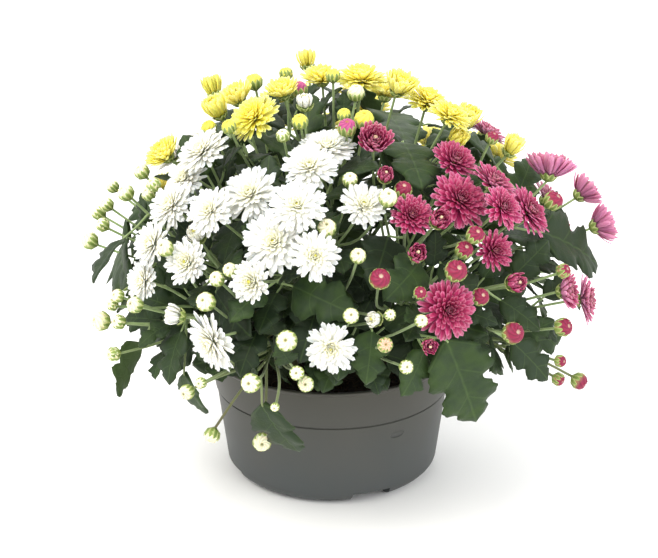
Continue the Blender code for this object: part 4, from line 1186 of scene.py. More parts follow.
def marks_at(table, share):
    """The measures at a share of the way down a table of marks."""
    columns = list(zip(*table))
    return np.array([np.interp(share, columns[0], column) for column in columns[1:]])


def opened_share(openness):
    """How far a flower has gone from a closed cup, 0, to a flat bloom, 1."""
    return max(0.0, (openness - CLOSED_AT) / (1 - CLOSED_AT)) ** 1.5


def petal_facts(share, openness, radius, draw):
    """A petal's measures in metres, from its share of the way from the outermost to the innermost."""
    opened = opened_share(openness)
    spread, folded = marks_at(OPEN_PETALS, share), marks_at(CLOSED_PETALS, share)
    facts = folded + (spread - folded) * opened
    length, width, foot, height, low, high = (float(value) for value in facts)
    low += draw.uniform(-PETAL_FOOT_SWAY, PETAL_FOOT_SWAY)
    high += draw.uniform(-PETAL_TIP_SWAY, PETAL_TIP_SWAY)
    length *= draw.uniform(*PETAL_LENGTHS)
    width *= draw.uniform(*PETAL_WIDTHS)
    return length * radius, width * radius, foot * radius, height * radius, low, high


def add_petals(shape, flower, draw):
    """A flower's petals, set by the golden angle from the outermost to the innermost."""
    place = flower_place(flower) @ Matrix.Diagonal((1, 1, PETAL_DOME[flower.colour], 1))
    count = next(number for least, number in PETAL_COUNTS if flower.radius > least)
    first = draw.uniform(0, 2 * math.pi)
    mood = draw.uniform(0.0, 1.0)
    closed = 1 - opened_share(flower.openness)
    if flower.colour == "magenta":
        age = (flower.centre - FADE_START).dot(FADE_RATE)
        mood = 0.25 * mood + 0.75 * max(0.0, min(1.0, age))
    for index in range(count):
        share = index / (count - 1)
        facts = petal_facts(share, flower.openness, flower.radius, draw)
        turn = first + index * GOLDEN_ANGLE + draw.uniform(-PETAL_TURN, PETAL_TURN)
        shares = {"depth": share + 0.5 * (1 - share) * closed, "tone": 0.7 * mood + 0.3 * draw.random()}
        roll = draw.uniform(-PETAL_ROLL, PETAL_ROLL)
        add_strap(shape, place, PETAL_OUTLINE, facts, turn, roll, PETAL_CHANNEL, shares)


def add_eye(shape, flower):
    """The button of tiny florets in a flower's middle, which a cup carries high between its petals."""
    closed = 1 - opened_share(flower.openness)
    radius = (0.075 + 0.075 * closed) * flower.radius
    place = flower_place(flower) @ Matrix.Translation(UP * (0.20 + 0.52 * closed) * flower.radius)
    found = bmesh.ops.create_icosphere(shape, subdivisions=2, radius=radius, matrix=place)["verts"]
    for face in {face for vert in found for face in vert.link_faces}:
        face.material_index = 1
    mark(shape, found, depth=1.0, along=1.0, tone=closed)


def build_petals(name, flowers, finishes, node, draw, turned_away=1.0):
    """The petals and eyes of some flowers, in one piece."""
    shape = new_shape()
    for flower in flowers:
        add_petals(shape, flower, draw)
    thicken(shape, PETAL_THICKNESS, turned_away)
    for flower in flowers:
        add_eye(shape, flower)
    to_piece(name, shape, finishes, node)


def calyx_size(flower):
    """The radius of the cup of bracts under a bloom or a cup."""
    return min(0.55 * flower.radius, 0.0045 + 0.13 * flower.radius)


def add_calyx(shape, flower, draw):
    """Two whorls of bracts that hold a bloom or a cup from below."""
    place = flower_place(flower)
    size = calyx_size(flower)
    reach = size * (1.15 + 0.9 * (1 - flower.openness))
    for whorl, index in product(range(2), range(WHORL_BRACTS)):
        turn = 2 * math.pi * (index + whorl / 2) / WHORL_BRACTS + draw.uniform(-0.08, 0.08)
        facts = (reach * (1 - 0.22 * whorl), size * 0.75, 0.12 * size, -1.04 * size, 4 - 4 * whorl, 82)
        add_strap(shape, place, BRACT_OUTLINE, facts, turn, 0.0, 0.2, {"tone": draw.random()})


def add_receptacle(shape, flower):
    """The solid green base inside the bracts."""
    size = calyx_size(flower)
    place = flower_place(flower) @ Matrix.Translation(UP * -0.56 * size)
    place = place @ Matrix.Diagonal((0.72 * size, 0.72 * size, 0.46 * size, 1.0))
    found = bmesh.ops.create_uvsphere(shape, u_segments=12, v_segments=6, radius=1.0, matrix=place)
    mark(shape, found["verts"], tone=0.4)


def add_bud_bracts(shape, flower, draw):
    """Bracts that lie against a bud and come a little over half of the way up it."""
    place = flower_place(flower)
    along, across = strap_layers(shape)
    rows = len(BRACT_OUTLINE) - 1
    # A young bud's bracts come nearer to its top
    top = draw.uniform(54, 84) - (16 if flower.radius < 0.0062 else 0)
    for index in range(BUD_BRACTS):
        turn = 2 * math.pi * index / BUD_BRACTS + draw.uniform(-0.08, 0.08)
        verts = bmesh.ops.create_grid(shape, x_segments=2, y_segments=rows, size=1.0)["verts"]
        for vert in verts:
            share, broad = BRACT_OUTLINE[round((vert.co.y + 1) / 2 * rows)]
            vert[along], vert[across] = share, vert.co.x
            fall = math.radians(170 - (170 - top) * share)
            swing = turn + vert.co.x * broad * 0.36 / max(0.35, math.sin(fall))
            radius = flower.radius * (1.05 + 0.03 * (index % 2) - 0.02 * abs(vert.co.x))
            out = heading(swing) * math.sin(fall)
            vert.co = place @ ((out + UP * math.cos(fall)) * radius)
        mark(shape, verts, tone=draw.random())


def add_bud(shape, flower, draw):
    """A closed bud: petals folded over each other like a pinwheel, and drawn in at the top."""
    place = flower_place(flower)
    twist = draw.uniform(0.8, 1.3)
    tone = 1.0 if flower.key in ROSY_BUDS else draw.uniform(0.0, 0.8)
    verts = bmesh.ops.create_uvsphere(
        shape, u_segments=BUD_PETALS * BUD_COLUMNS, v_segments=BUD_ROWS, radius=1.0
    )["verts"]
    along, across = strap_layers(shape)
    for vert in verts:
        fall = math.acos(max(-1.0, min(1.0, vert.co.z)))
        turn = math.atan2(vert.co.y, vert.co.x)
        over = (BUD_PETALS * turn / (2 * math.pi) + 0.5 / BUD_COLUMNS) % 1.0
        lap = BUD_LAP + BUD_CROWN_LAP * max(0.0, math.cos(fall))
        lap *= over * min(1.0, fall / 0.35) * min(1.0, (math.pi - fall) / 0.8)
        dimple = BUD_DIMPLE * max(0.0, 1 - fall / 0.55) ** 2
        swing = turn + twist * math.cos(fall) + 0.9 * max(0.0, 1 - fall / 0.8)
        radius = flower.radius * (0.95 + lap - dimple)
        vert[along] = 1 - fall / math.pi
        vert[across] = over
        out = heading(swing) * math.sin(fall)
        vert.co = place @ ((out + UP * 0.96 * math.cos(fall)) * radius)
    mark(shape, verts, tone=tone)


def smooth_line(points, radii, steps):
    """More places along a stem, on a smooth curve through its points, with their radii."""
    if len(points) == 2:
        return points, radii
    ends = [points[0] * 2 - points[1]] + points + [points[-1] * 2 - points[-2]]
    places, sizes = [], []
    for index in range(len(points) - 1):
        a, b, c, d = ends[index : index + 4]
        for step in range(steps):
            t = step / steps
            curve = (a * -1 + b * 3 - c * 3 + d) * t**3
            curve += (a * 2 - b * 5 + c * 4 - d) * t**2 + (c - a) * t + b * 2
            places.append(curve / 2)
            sizes.append(radii[index] + (radii[index + 1] - radii[index]) * t)
    return places + [points[-1]], sizes + [radii[-1]]


def stem_line(stem):
    """A stem's line of places and radii, up to the flower that it carries."""
    flower = stem.flower
    points = list(stem.points)
    if flower:
        back = flower.radius * 0.9 if flower.kind == "bud" else calyx_size(flower) * 0.9
        points[-1] = flower.centre - flower.axis * back
    last = len(points) - 1
    radii = [stem.radius + (stem.end_radius - stem.radius) * index / last for index in range(last + 1)]
    return smooth_line(points, radii, 4)


def leaf_stalk_line(leaf):
    """A leaf's own short stalk, from its stem to a little way up the rib."""
    middle = leaf.root.lerp(leaf.base, 0.5) + leaf.upper * -0.0008
    tip = leaf.point(0.06, 0.0, -LEAF_THICKNESS)
    return smooth_line([leaf.root, middle, leaf.base, tip], [0.0013, 0.0010, 0.0009, 0.0006], 3)


def build_stems(name, lines, finish, node):
    """Round stems along their lines, in one mesh."""
    data = bpy.data.curves.new(name, "CURVE")
    data.dimensions = "3D"
    data.bevel_depth = 1.0
    data.bevel_resolution = 2
    data.use_fill_caps = True
    for places, radii in lines:
        spline = data.splines.new("POLY")
        spline.points.add(len(places) - 1)
        for point, place, radius in zip(spline.points, places, radii):
            point.co = (*place, 1.0)
            point.radius = radius
    drawn = new_object(name, data)
    mesh = shown_mesh(drawn)
    bpy.data.objects.remove(drawn, do_unlink=True)
    bpy.data.curves.remove(data)
    mesh.materials.clear()
    settle_piece(name, mesh, [finish], node)


def add_blade(shape, leaf, columns, rows, draw):
    """A toothed and lobed blade as a sheet, quilted between its veins and waved at its edge."""
    marks, widths = zip(*LEAF_TEETH)
    phase = draw.uniform(0, 2 * math.pi)
    along, across = strap_layers(shape)
    verts = bmesh.ops.create_grid(shape, x_segments=columns, y_segments=rows, size=1.0)["verts"]
    for vert in verts:
        side, share = vert.co.x, (vert.co.y + 1) / 2
        lateral = side * float(np.interp(share, marks, widths))
        forward = share + LEAF_SWEEP * abs(side) * math.sin(math.pi * share)
        quilt = LEAF_QUILT * abs(math.sin(math.pi * (6 * forward - 4 * abs(lateral)))) * (1 - abs(side))
        wave = LEAF_WAVE * side * side * math.sin(13 * forward + phase + 2 * side)
        curl = LEAF_CURL * abs(side) ** 3
        vert[along], vert[across] = forward, lateral
        vert.co = leaf.point(forward, lateral, (quilt + wave - curl) * leaf.length)
    mark(shape, verts, tone=draw.random())


def build_leaves(name, leaves, finish, node, draw):
    """The blades of some leaves, in one piece."""
    shape = new_shape()
    for leaf in leaves:
        large = leaf.length > LARGE_LEAF
        add_blade(shape, leaf, 6 if large else 4, 44 if large else 24, draw)
    thicken(shape, LEAF_THICKNESS)
    to_piece(name, shape, [finish], node)


def build_plant(colour, flowers, stems, leaves, finishes):
    """The pieces that stand for one plant's green solid: stems, leaves, bracts, buds and cups."""
    draw = random.Random(f"{colour} plant")
    node = f"{colour}_plant"
    lines = [stem_line(stem) for stem in stems] + [leaf_stalk_line(leaf) for leaf in leaves]
    build_stems(f"{colour}_stems", lines, finishes["stem"], node)
    build_leaves(f"{colour}_leaves", leaves, finishes["leaf"], node, draw)
    buds = [f for f in flowers if f.kind == "bud"]
    bracts = new_shape()
    for flower in flowers:
        if flower.kind == "bud":
            add_bud_bracts(bracts, flower, draw)
        else:
            add_calyx(bracts, flower, draw)
    thicken(bracts, BRACT_THICKNESS)
    for flower in flowers:
        if flower.kind != "bud":
            add_receptacle(bracts, flower)
    to_piece(f"{colour}_bracts", bracts, [finishes["bract"]], node)
    balls = new_shape()
    for flower in buds:
        add_bud(balls, flower, draw)
    to_piece(f"{colour}_buds", balls, [finishes[f"{colour} bud"]], node)
    cups = [f for f in flowers if f.kind == "cup"]
    petals = [finishes[f"{colour} petal"], finishes[f"{colour} eye"]]
    build_petals(f"{colour}_cups", cups, petals, node, draw, 0.3)


def build_blooms(flowers, finishes):
    """The petals of each open bloom, or joined pair, in the place of its solid."""
    for name in sorted({f.name for f in flowers if f.kind == "bloom"}):
        group = [f for f in flowers if f.name == name]
        colour = group[0].colour
        petals = [finishes[f"{colour} petal"], finishes[f"{colour} eye"]]
        draw = random.Random(f"{name} {PETAL_SEED}")
        build_petals(f"{name}_petals", group, petals, name, draw)


def spun(name, profile, steps):
    """A closed mesh object of revolution about Z from its half outline."""
    shape = bmesh.new()
    verts = [shape.verts.new((radius, 0, height)) for radius, height in profile]
    edges = [shape.edges.new(pair) for pair in zip(verts, verts[1:])]
    bmesh.ops.spin(
        shape, geom=verts + edges, cent=(0, 0, 0), axis=(0, 0, 1), angle=2 * math.pi, steps=steps,
        use_merge=True,
    )
    bmesh.ops.remove_doubles(shape, verts=shape.verts, dist=1e-6)
    return loose_object(name, shape)


def loose_object(name, shape):
    """A plain object from a closed shape, with its faces pointing out."""
    bmesh.ops.recalc_face_normals(shape, faces=shape.faces)
    if shape.calc_volume(signed=True) < 0:
        bmesh.ops.reverse_faces(shape, faces=shape.faces)
    return new_object(name, mesh_of(name, shape))


def mesh_from(loose):
    """A plain object's mesh, without the object."""
    mesh = loose.data.copy()
    bpy.data.objects.remove(loose, do_unlink=True)
    return mesh


def wall_radius(height, inset=0.0):
    """The pot's outer radius at a height on its straight flank, less an inset."""
    share = (height - POT_CORNER) / (POT_HEIGHT - POT_CORNER)
    foot = POT_FOOT_RADIUS + POT_FOOT_FLARE
    return foot + (POT_RIM_RADIUS - foot) * share - inset


def arc(centre, radius, first, last, count):
    """Points of an arc in the pot's section, from one angle to another in degrees."""
    angles = [math.radians(first + (last - first) * index / (count - 1)) for index in range(count)]
    return [(centre[0] + radius * math.cos(a), centre[1] + radius * math.sin(a)) for a in angles]


def pot_outside():
    """The pot's outer section, from the middle of its underside to the top of its rolled lip."""
    band = POT_BAND_HEIGHT
    corner = []
    for turn in (math.radians(angle) for angle in range(0, 91, 9)):
        reach = (POT_CORNER + POT_FOOT_FLARE * math.sin(turn)) * math.sin(turn)
        corner.append((POT_FOOT_RADIUS - POT_CORNER + reach, POT_CORNER * (1 - math.cos(turn))))
    under, over = wall_radius(band) - POT_BAND_STEP, wall_radius(band)
    groove = [(under, band - GROOVE_WIDTH), (under - GROOVE_DEPTH, band - 0.7 * GROOVE_WIDTH)]
    groove += [(under - GROOVE_DEPTH, band - 0.0002), (over - POT_STEP_ROUND, band)]
    step = arc((over - POT_STEP_ROUND, band + POT_STEP_ROUND), POT_STEP_ROUND, -90, 0, 4)[1:]
    collar = [(wall_radius(h), h) for h in np.linspace(band + 0.004, POT_HEIGHT - 0.0042, 5)]
    lip_middle = (POT_RIM_RADIUS + POT_LIP - POT_LIP_ROUND, POT_HEIGHT - POT_LIP_ROUND)
    lip = arc(lip_middle, POT_LIP_ROUND, -60, 90, 8)
    return [(0, 0)] + corner + groove + step + collar + lip + [(0, POT_HEIGHT)]


def pot_inside():
    """The section of the pot's cavity, from the middle of its floor to above the rim."""
    band = POT_BAND_HEIGHT
    edge = wall_radius(POT_HEIGHT, POT_WALL)
    return [
        (0, POT_WALL),
        (POT_FOOT_RADIUS - POT_CORNER, POT_WALL),
        (POT_FOOT_RADIUS - 0.29 * POT_CORNER, 0.40 * POT_CORNER),
        (inner_radius(POT_CORNER), POT_CORNER),
        (inner_radius(band), band),
        (edge - 0.0001, POT_HEIGHT - 0.0010),
        (edge + 0.0003, POT_HEIGHT - 0.0003),
        (edge + 0.0010, POT_HEIGHT + 0.0001),
        (edge + 0.0010, POT_HEIGHT + 0.0100),
        (0, POT_HEIGHT + 0.0100),
    ]


def inner_radius(height):
    """The radius of the pot's inner wall at a height."""
    return wall_radius(height, POT_WALL + (POT_BAND_STEP if height <= POT_BAND_HEIGHT else 0.0))


def arch_blocks(name, margin, low, high):
    """A radial block for each drainage arch, wider by a margin, that runs out past the pot's wall."""
    blocks = []
    outer = POT_RIM_RADIUS + 0.010
    inner = ARCH_INNER_RADIUS - margin
    size = Vector((2 * (ARCH_HALF_WIDTH + margin), outer - inner, high - low))
    middle = Vector((0, -(outer + inner) / 2, (high + low) / 2))
    for index, bearing in enumerate(ARCH_BEARINGS):
        shape = bmesh.new()
        bmesh.ops.create_cube(shape, size=1.0)
        bmesh.ops.scale(shape, vec=size, verts=shape.verts)
        bmesh.ops.translate(shape, vec=middle, verts=shape.verts)
        upright = [edge for edge in shape.edges if all(vert.co.z > high - 1e-5 for vert in edge.verts)]
        bmesh.ops.bevel(
            shape, geom=upright, offset=0.0012, affect="EDGES", segments=3, profile=0.5, material=-1
        )
        turning = Matrix.Rotation(bearing, 3, "Z")
        bmesh.ops.rotate(shape, cent=(0, 0, 0), matrix=turning, verts=shape.verts)
        blocks.append(loose_object(f"{name}_{index}", shape))
    return blocks


def drain_cutters():
    """A round cutter through the ceiling of each drainage arch."""
    cutters = []
    for index, bearing in enumerate(ARCH_BEARINGS):
        centre = Vector((DRAIN_PLACE * math.sin(bearing), -DRAIN_PLACE * math.cos(bearing), ARCH_HEIGHT))
        shape = bmesh.new()
        bmesh.ops.create_cone(
            shape, cap_ends=True, segments=24, radius1=DRAIN_RADIUS, radius2=DRAIN_RADIUS, depth=0.012,
            matrix=Matrix.Translation(centre),
        )
        cutters.append(loose_object(f"drain_{index}", shape))
    return cutters


def dimple_cutter():
    """The shallow oval that the moulding mark sinks into the pot's flank."""
    reach = wall_radius(DIMPLE_HEIGHT, POT_BAND_STEP) + 0.35 * DIMPLE_SIZE.y
    place = Matrix.Rotation(DIMPLE_BEARING, 4, "Z") @ Matrix.Translation((0, -reach, DIMPLE_HEIGHT))
    place = place @ Matrix.Diagonal((*DIMPLE_SIZE, 1.0))
    shape = bmesh.new()
    bmesh.ops.create_uvsphere(shape, u_segments=32, v_segments=16, radius=1.0, matrix=place)
    return loose_object("dimple", shape)


def cut(target, others):
    """Cuts each of the others from an object's mesh, and removes them."""
    for other in others:
        change = target.modifiers.new(other.name, "BOOLEAN")
        change.operation = "DIFFERENCE"
        change.object = other
        change.solver = "EXACT"
    mesh = shown_mesh(target)
    target.modifiers.clear()
    target.data = mesh
    for other in others:
        bpy.data.objects.remove(other, do_unlink=True)


def build_pot(finish):
    """The turned bowl with its collar, rolled lip, drainage arches and the moulding mark on its flank."""
    bowl = spun("bowl", pot_outside(), POT_STEPS)
    cavity = spun("cavity", pot_inside(), POT_STEPS)
    cut(cavity, arch_blocks("ceiling", POT_WALL, -0.005, ARCH_HEIGHT + POT_WALL))
    channels = arch_blocks("channel", 0.0, -0.005, ARCH_HEIGHT)
    cut(bowl, [cavity] + channels + drain_cutters() + [dimple_cutter()])
    mesh = mesh_from(bowl)
    settle_piece("bowl", mesh, [finish], "pot")
    mesh.set_sharp_from_angle(angle=math.radians(32))


def soil_level(radius):
    """The even level of the soil's crowned top at a distance from the pot's middle."""
    return SOIL_TOP + SOIL_CROWN * (1 - radius / SOIL_CROWN_RADIUS)


def soil_unevenness(x, y):
    """How far the soil stands above or below that level: clods about 18 mm across and finer crumbs."""
    clods = noise.noise(Vector((x, y, 0.0)) * 55)
    crumbs = noise.noise(Vector((x, y, 3.0)) * 210)
    return 0.0022 * clods + 0.0011 * crumbs


def soil_section():
    """The half outline of the pot's filling, from the middle of its underside to that of its top."""
    ceiling = ARCH_HEIGHT + POT_WALL + TOUCH_GAP
    gap = 4 * TOUCH_GAP
    side = [(inner_radius(h) - gap, h) for h in (SOIL_SHOULDER, POT_BAND_HEIGHT, SOIL_TOP)]
    top = [(radius, soil_level(radius)) for radius in np.linspace(0.103, 0.002, 42)]
    foot = [(0, ceiling), (POT_FOOT_RADIUS - 0.35 * POT_CORNER, ceiling)]
    return foot + side + top + [(0, SOIL_TOP + SOIL_CROWN)]


def build_soil(finish):
    """The filling of the pot, with an uneven crumbly top."""
    body = spun("filling", soil_section(), SOIL_STEPS)
    for vert in body.data.vertices:
        if vert.co.z > SOIL_TOP - 0.001:
            vert.co.z += soil_unevenness(vert.co.x, vert.co.y)
    settle_piece("peat", mesh_from(body), [finish], "soil")


def build_crumbs(finish):
    """Loose crumbs of peat, half sunk in the soil's top."""
    draw = random.Random(SOIL_SEED)
    shape = new_shape()
    for _ in range(SOIL_CRUMBS):
        radius, turn = 0.100 * math.sqrt(draw.random()), draw.uniform(0, 2 * math.pi)
        x, y = radius * math.cos(turn), radius * math.sin(turn)
        size = draw.uniform(0.0008, 0.0024)
        height = soil_level(radius) + soil_unevenness(x, y) + 0.3 * size
        turning, hinge = draw.uniform(0, math.pi), Vector((draw.random(), draw.random(), 1))
        stretch = Matrix.Diagonal((size * draw.uniform(0.8, 1.6), size, size * 0.7, 1.0))
        place = Matrix.Translation((x, y, height)) @ Matrix.Rotation(turning, 4, hinge) @ stretch
        verts = bmesh.ops.create_icosphere(shape, subdivisions=1, radius=1.0, matrix=place)["verts"]
        mark(shape, verts, tone=draw.random())
    to_piece("peat_crumbs", shape, [finish], "soil")


def linear(colour):
    """A linear colour, with alpha, from an sRGB hex value."""
    parts = [int(colour[i : i + 2], 16) / 255 for i in (0, 2, 4)]
    return (*(p / 12.92 if p <= 0.04045 else ((p + 0.055) / 1.055) ** 2.4 for p in parts), 1.0)


def add_node(tree, kind, inputs, output=0, **settings):
    """Adds a node with its settings, input values and links, and gives the output asked for."""
    made = tree.nodes.new(kind)
    for name, value in settings.items():
        setattr(made, name, value)
    for name, value in inputs.items():
        if isinstance(value, bpy.types.NodeSocket):
            tree.links.new(value, made.inputs[name])
        else:
            made.inputs[name].default_value = value
    return made.outputs[output]


def new_finish(name, **inputs):
    """A material, with its node tree and its shader, whose fixed values are set on the shader itself."""
    made = bpy.data.materials.new(name)
    made.use_nodes = True
    shader = made.node_tree.nodes["Principled BSDF"]
    for label, value in inputs.items():
        shader.inputs[label.replace("_", " ")].default_value = value
    return made, made.node_tree, shader


def colour_and_relief(tree, shader, base, layers, level=None, relief=None):
    """Gives a finish its colour and its relief.

    Tints are laid over the base colour, each by its own factor, and a level makes the whole lighter or
    darker. Relief is a height, how strongly it shows, and how deep it is in metres.
    """
    face = linear(base)
    for factor, tint in layers:
        face = add_node(
            tree, "ShaderNodeMix", {MIX_FACTOR: factor, MIX_FIRST: face, MIX_SECOND: linear(tint)},
            MIX_RESULT, data_type="RGBA",
        )
    if level is not None:
        face = add_node(tree, "ShaderNodeVectorMath", {0: face, "Scale": level}, operation="SCALE")
    tree.links.new(face, shader.inputs["Base Color"])
    if relief is not None:
        height, strength, depth = relief
        bump = add_node(tree, "ShaderNodeBump", {"Height": height, "Strength": strength, "Distance": depth})
        tree.links.new(bump, shader.inputs["Normal"])


def vertex_shares(tree, names=SHARES):
    """What each vertex carries, as outputs in a finish."""
    return [add_node(tree, "ShaderNodeAttribute", {}, "Fac", attribute_name=name) for name in names]


def own_places(tree):
    """Each point's place in its own piece, in metres."""
    return add_node(tree, "ShaderNodeTexCoord", {}, "Object")


def ranged(tree, value, marks=(0.0, 1.0), levels=(0.0, 1.0), **settings):
    """A number that goes from one level to another as a value goes from its first mark to its last."""
    ends = {"From Min": marks[0], "From Max": marks[1], "To Min": levels[0], "To Max": levels[1]}
    return add_node(tree, "ShaderNodeMapRange", {"Value": value, **ends}, **settings)


def worked_out(tree, operation, *values):
    """The result of an operation on values."""
    return add_node(tree, "ShaderNodeMath", dict(enumerate(values)), operation=operation)


def clouds(tree, places, scale, detail):
    """Cloudy noise over places, with as many clouds to a unit of length as its scale says."""
    return add_node(tree, "ShaderNodeTexNoise", {"Vector": places, "Scale": scale, "Detail": detail}, "Fac")


def petal_layers(tree, shares, tints):
    """The tints of a petal, each with its factor: age, the flower's middle, foot, tip and reverse."""
    along, across, under, depth, tone = shares
    inward = ranged(tree, depth, (0.40, 0.97), interpolation_type="SMOOTHSTEP")
    rooted = ranged(tree, along, (0.05, 0.55), (1.0, 0.0))
    spread = worked_out(tree, "ABSOLUTE", across)
    rimmed = worked_out(tree, "MULTIPLY_ADD", spread, 0.22, along)
    tipped = ranged(tree, rimmed, (0.84, 1.18), (0.0, 0.75))
    # Only the outer petals are pale at the tip and on the reverse; the middle keeps its full colour
    outward = ranged(tree, depth, (0.0, 0.75), (1.0, 0.15))
    paled = worked_out(tree, "MULTIPLY", tipped, outward)
    turned_away = worked_out(tree, "MULTIPLY", under, outward)
    factors = {"faded": tone, "inner": inward, "foot": rooted, "tip": paled, "reverse": turned_away}
    return [(factor, tints[name]) for name, factor in factors.items()]


def petal_finish(colour):
    """Fresh chrysanthemum petal: a thin, matt, translucent skin over water-filled cells.

    It gives a soft, bright face with fine lengthwise veins, a deeper tone towards the flower's middle and
    the petal's foot, a paler tip and margin, and a duller reverse.
    """
    tints = PETAL_COLOURS[colour]
    dark = colour == "magenta"
    made, tree, shader = new_finish(
        f"{colour} chrysanthemum petal",
        Roughness=0.60,
        Specular_IOR_Level=0.28,
        Subsurface_Weight=0.45 if dark else 0.80,
        Subsurface_Radius=(1.0, 0.85, 0.7),
        Subsurface_Scale=0.0045,
    )
    shares = vertex_shares(tree)
    along, across, _, _, tone = shares
    # Veins run along the petal about 0.5 mm apart, drawn a little stronger than life so that they show
    lines = add_node(tree, "ShaderNodeCombineXYZ", {"X": across, "Y": along, "Z": tone})
    veins = add_node(tree, "ShaderNodeMapping", {"Vector": lines, "Scale": (5.0, 0.7, 40.0)})
    grain = clouds(tree, veins, 1.6, 2.0)
    shade = ranged(tree, grain, (0.3, 0.7), (0.84 if dark else 0.97, 1.06))
    bright = ranged(tree, tone, levels=(0.94, 1.02))
    level = worked_out(tree, "MULTIPLY", shade, bright)
    layers = petal_layers(tree, shares, tints)
    colour_and_relief(tree, shader, tints["outer"], layers, level, (grain, 0.30, 0.0003))
    return made


def eye_finish(colour):
    """The flower's button: packed florets under a millimetre across, like grain with a soft sheen, and
    painted shade in the crevices between them.
    """
    made, tree, shader = new_finish(f"{colour} florets", Roughness=0.7, Specular_IOR_Level=0.25)
    spots = {"Vector": own_places(tree), "Scale": 1 / 0.0007}
    cells = add_node(tree, "ShaderNodeTexVoronoi", spots, "Distance")
    # Painted shade: the crevices between the florets are tinted dark
    crevice_shade = ranged(tree, cells, (0.3, 0.9), (0.0, 0.6))
    (closed,) = vertex_shares(tree, ("tone",))
    open_tint, closed_tint = EYE_COLOURS[colour]
    layers = ((closed, closed_tint), (crevice_shade, EYE_CREVICE_SHADES[colour]))
    colour_and_relief(tree, shader, open_tint, layers, relief=(cells, 0.6, 0.0004))
    return made


def bud_finish(colour):
    """A bud's folded petals: waxy, green at the base, pale at the crown, with painted shade in the creases
    and a painted highlight towards each lapped edge.

    The middle of the crown is tinted on its own, and some buds keep a rosy blush.
    """
    tints = BUD_COLOURS[colour]
    made, tree, shader = new_finish(
        f"{colour} bud", Roughness=0.5, Specular_IOR_Level=0.35, Subsurface_Weight=0.25,
        Subsurface_Scale=0.002,
    )
    along, across, _, _, tone = vertex_shares(tree)
    ripe = ranged(tree, along, (0.25, 0.66))
    flushed = ranged(tree, tone, (0.84, 0.95))
    rosy = worked_out(tree, "MULTIPLY", flushed, ripe)
    middle = ranged(tree, along, (0.91, 0.97), (0.0, 0.9))
    # Painted shade darkens each folded petal where it tucks under the next, and a painted highlight
    # brightens it towards its lapped edge
    crease_shade_and_lap_highlight = ranged(tree, across, (0.0, 0.9), (0.70, 1.10))
    bright = ranged(tree, tone, levels=(0.88, 1.04))
    level = worked_out(tree, "MULTIPLY", crease_shade_and_lap_highlight, bright)
    layers = ((ripe, tints["crown"]), (rosy, tints["blush"]), (middle, tints["centre"]))
    colour_and_relief(tree, shader, tints["foot"], layers, level)
    return made


def leaf_veins(tree, along, across):
    """How strongly a leaf's rib and side veins show, which fork off it six to the length at a slant."""
    spread = worked_out(tree, "ABSOLUTE", across)
    rib = ranged(tree, spread, (0.0, 0.020), (1.0, 0.0))
    lean = worked_out(tree, "MULTIPLY_ADD", spread, -0.68, along)
    pitch = worked_out(tree, "MULTIPLY", lean, 6.0)
    saw = worked_out(tree, "PINGPONG", pitch, 1.0)
    side_vein = ranged(tree, saw, (0.0, 0.10), (0.7, 0.0))
    return worked_out(tree, "MAXIMUM", rib, side_vein)


def leaf_finish():
    """Chrysanthemum leaf: dull dark green under fine grey hairs, with paler veins and a grey underside."""
    made, tree, shader = new_finish(
        "chrysanthemum leaf", Roughness=0.58, Specular_IOR_Level=0.30, Sheen_Weight=0.03,
        Sheen_Roughness=0.5,
    )
    along, across, under, _, tone = vertex_shares(tree)
    places = own_places(tree)
    # Patches about 12 mm across where the green is bluer or yellower
    patches = clouds(tree, places, 1 / 0.012, 3.0)
    hue = ranged(tree, patches, (0.35, 0.65), (0.0, 0.7))
    veins = leaf_veins(tree, along, across)
    shown = worked_out(tree, "MULTIPLY", veins, 0.38)
    # Hairs and cells about 1.6 mm across, the finest that shows, between veins that lie a little deeper
    fine = clouds(tree, places, 1 / 0.0016, 2.0)
    height = worked_out(tree, "MULTIPLY_ADD", veins, -0.6, fine)
    layers = ((tone, "304619"), (hue, "1E301C"), (shown, "4A6130"), (under, "44572F"))
    colour_and_relief(tree, shader, "15240D", layers, relief=(height, 0.5, 0.0005))
    return made


def stem_finish():
    """Green stem: ribbed and slightly downy, brown and woody near the soil, paler towards the flowers."""
    made, tree, shader = new_finish(
        "chrysanthemum stem", Roughness=0.6, Specular_IOR_Level=0.35, Sheen_Weight=0.2
    )
    places = own_places(tree)
    height = add_node(tree, "ShaderNodeSeparateXYZ", {"Vector": places}, "Z")
    woody = ranged(tree, height, (0.11, 0.18), (1.0, 0.0))
    # Streaks about 6 mm long
    streaks = clouds(tree, places, 1 / 0.006, 3.0)
    layers = ((streaks, "9DAC78"), (woody, "5F5C3C"))
    colour_and_relief(tree, shader, "6B8850", layers, relief=(streaks, 0.4, 0.0004))
    return made


def bract_finish():
    """Bracts: leathery yellow-green scales with a pale, papery edge and a darker keel."""
    made, tree, shader = new_finish("bract", Roughness=0.55, Specular_IOR_Level=0.35)
    _, across, _, _, tone = vertex_shares(tree)
    edge = ranged(tree, worked_out(tree, "ABSOLUTE", across), (0.45, 1.0))
    colour_and_relief(tree, shader, "647A38", ((tone, "83964A"), (edge, "BFC684")))
    return made


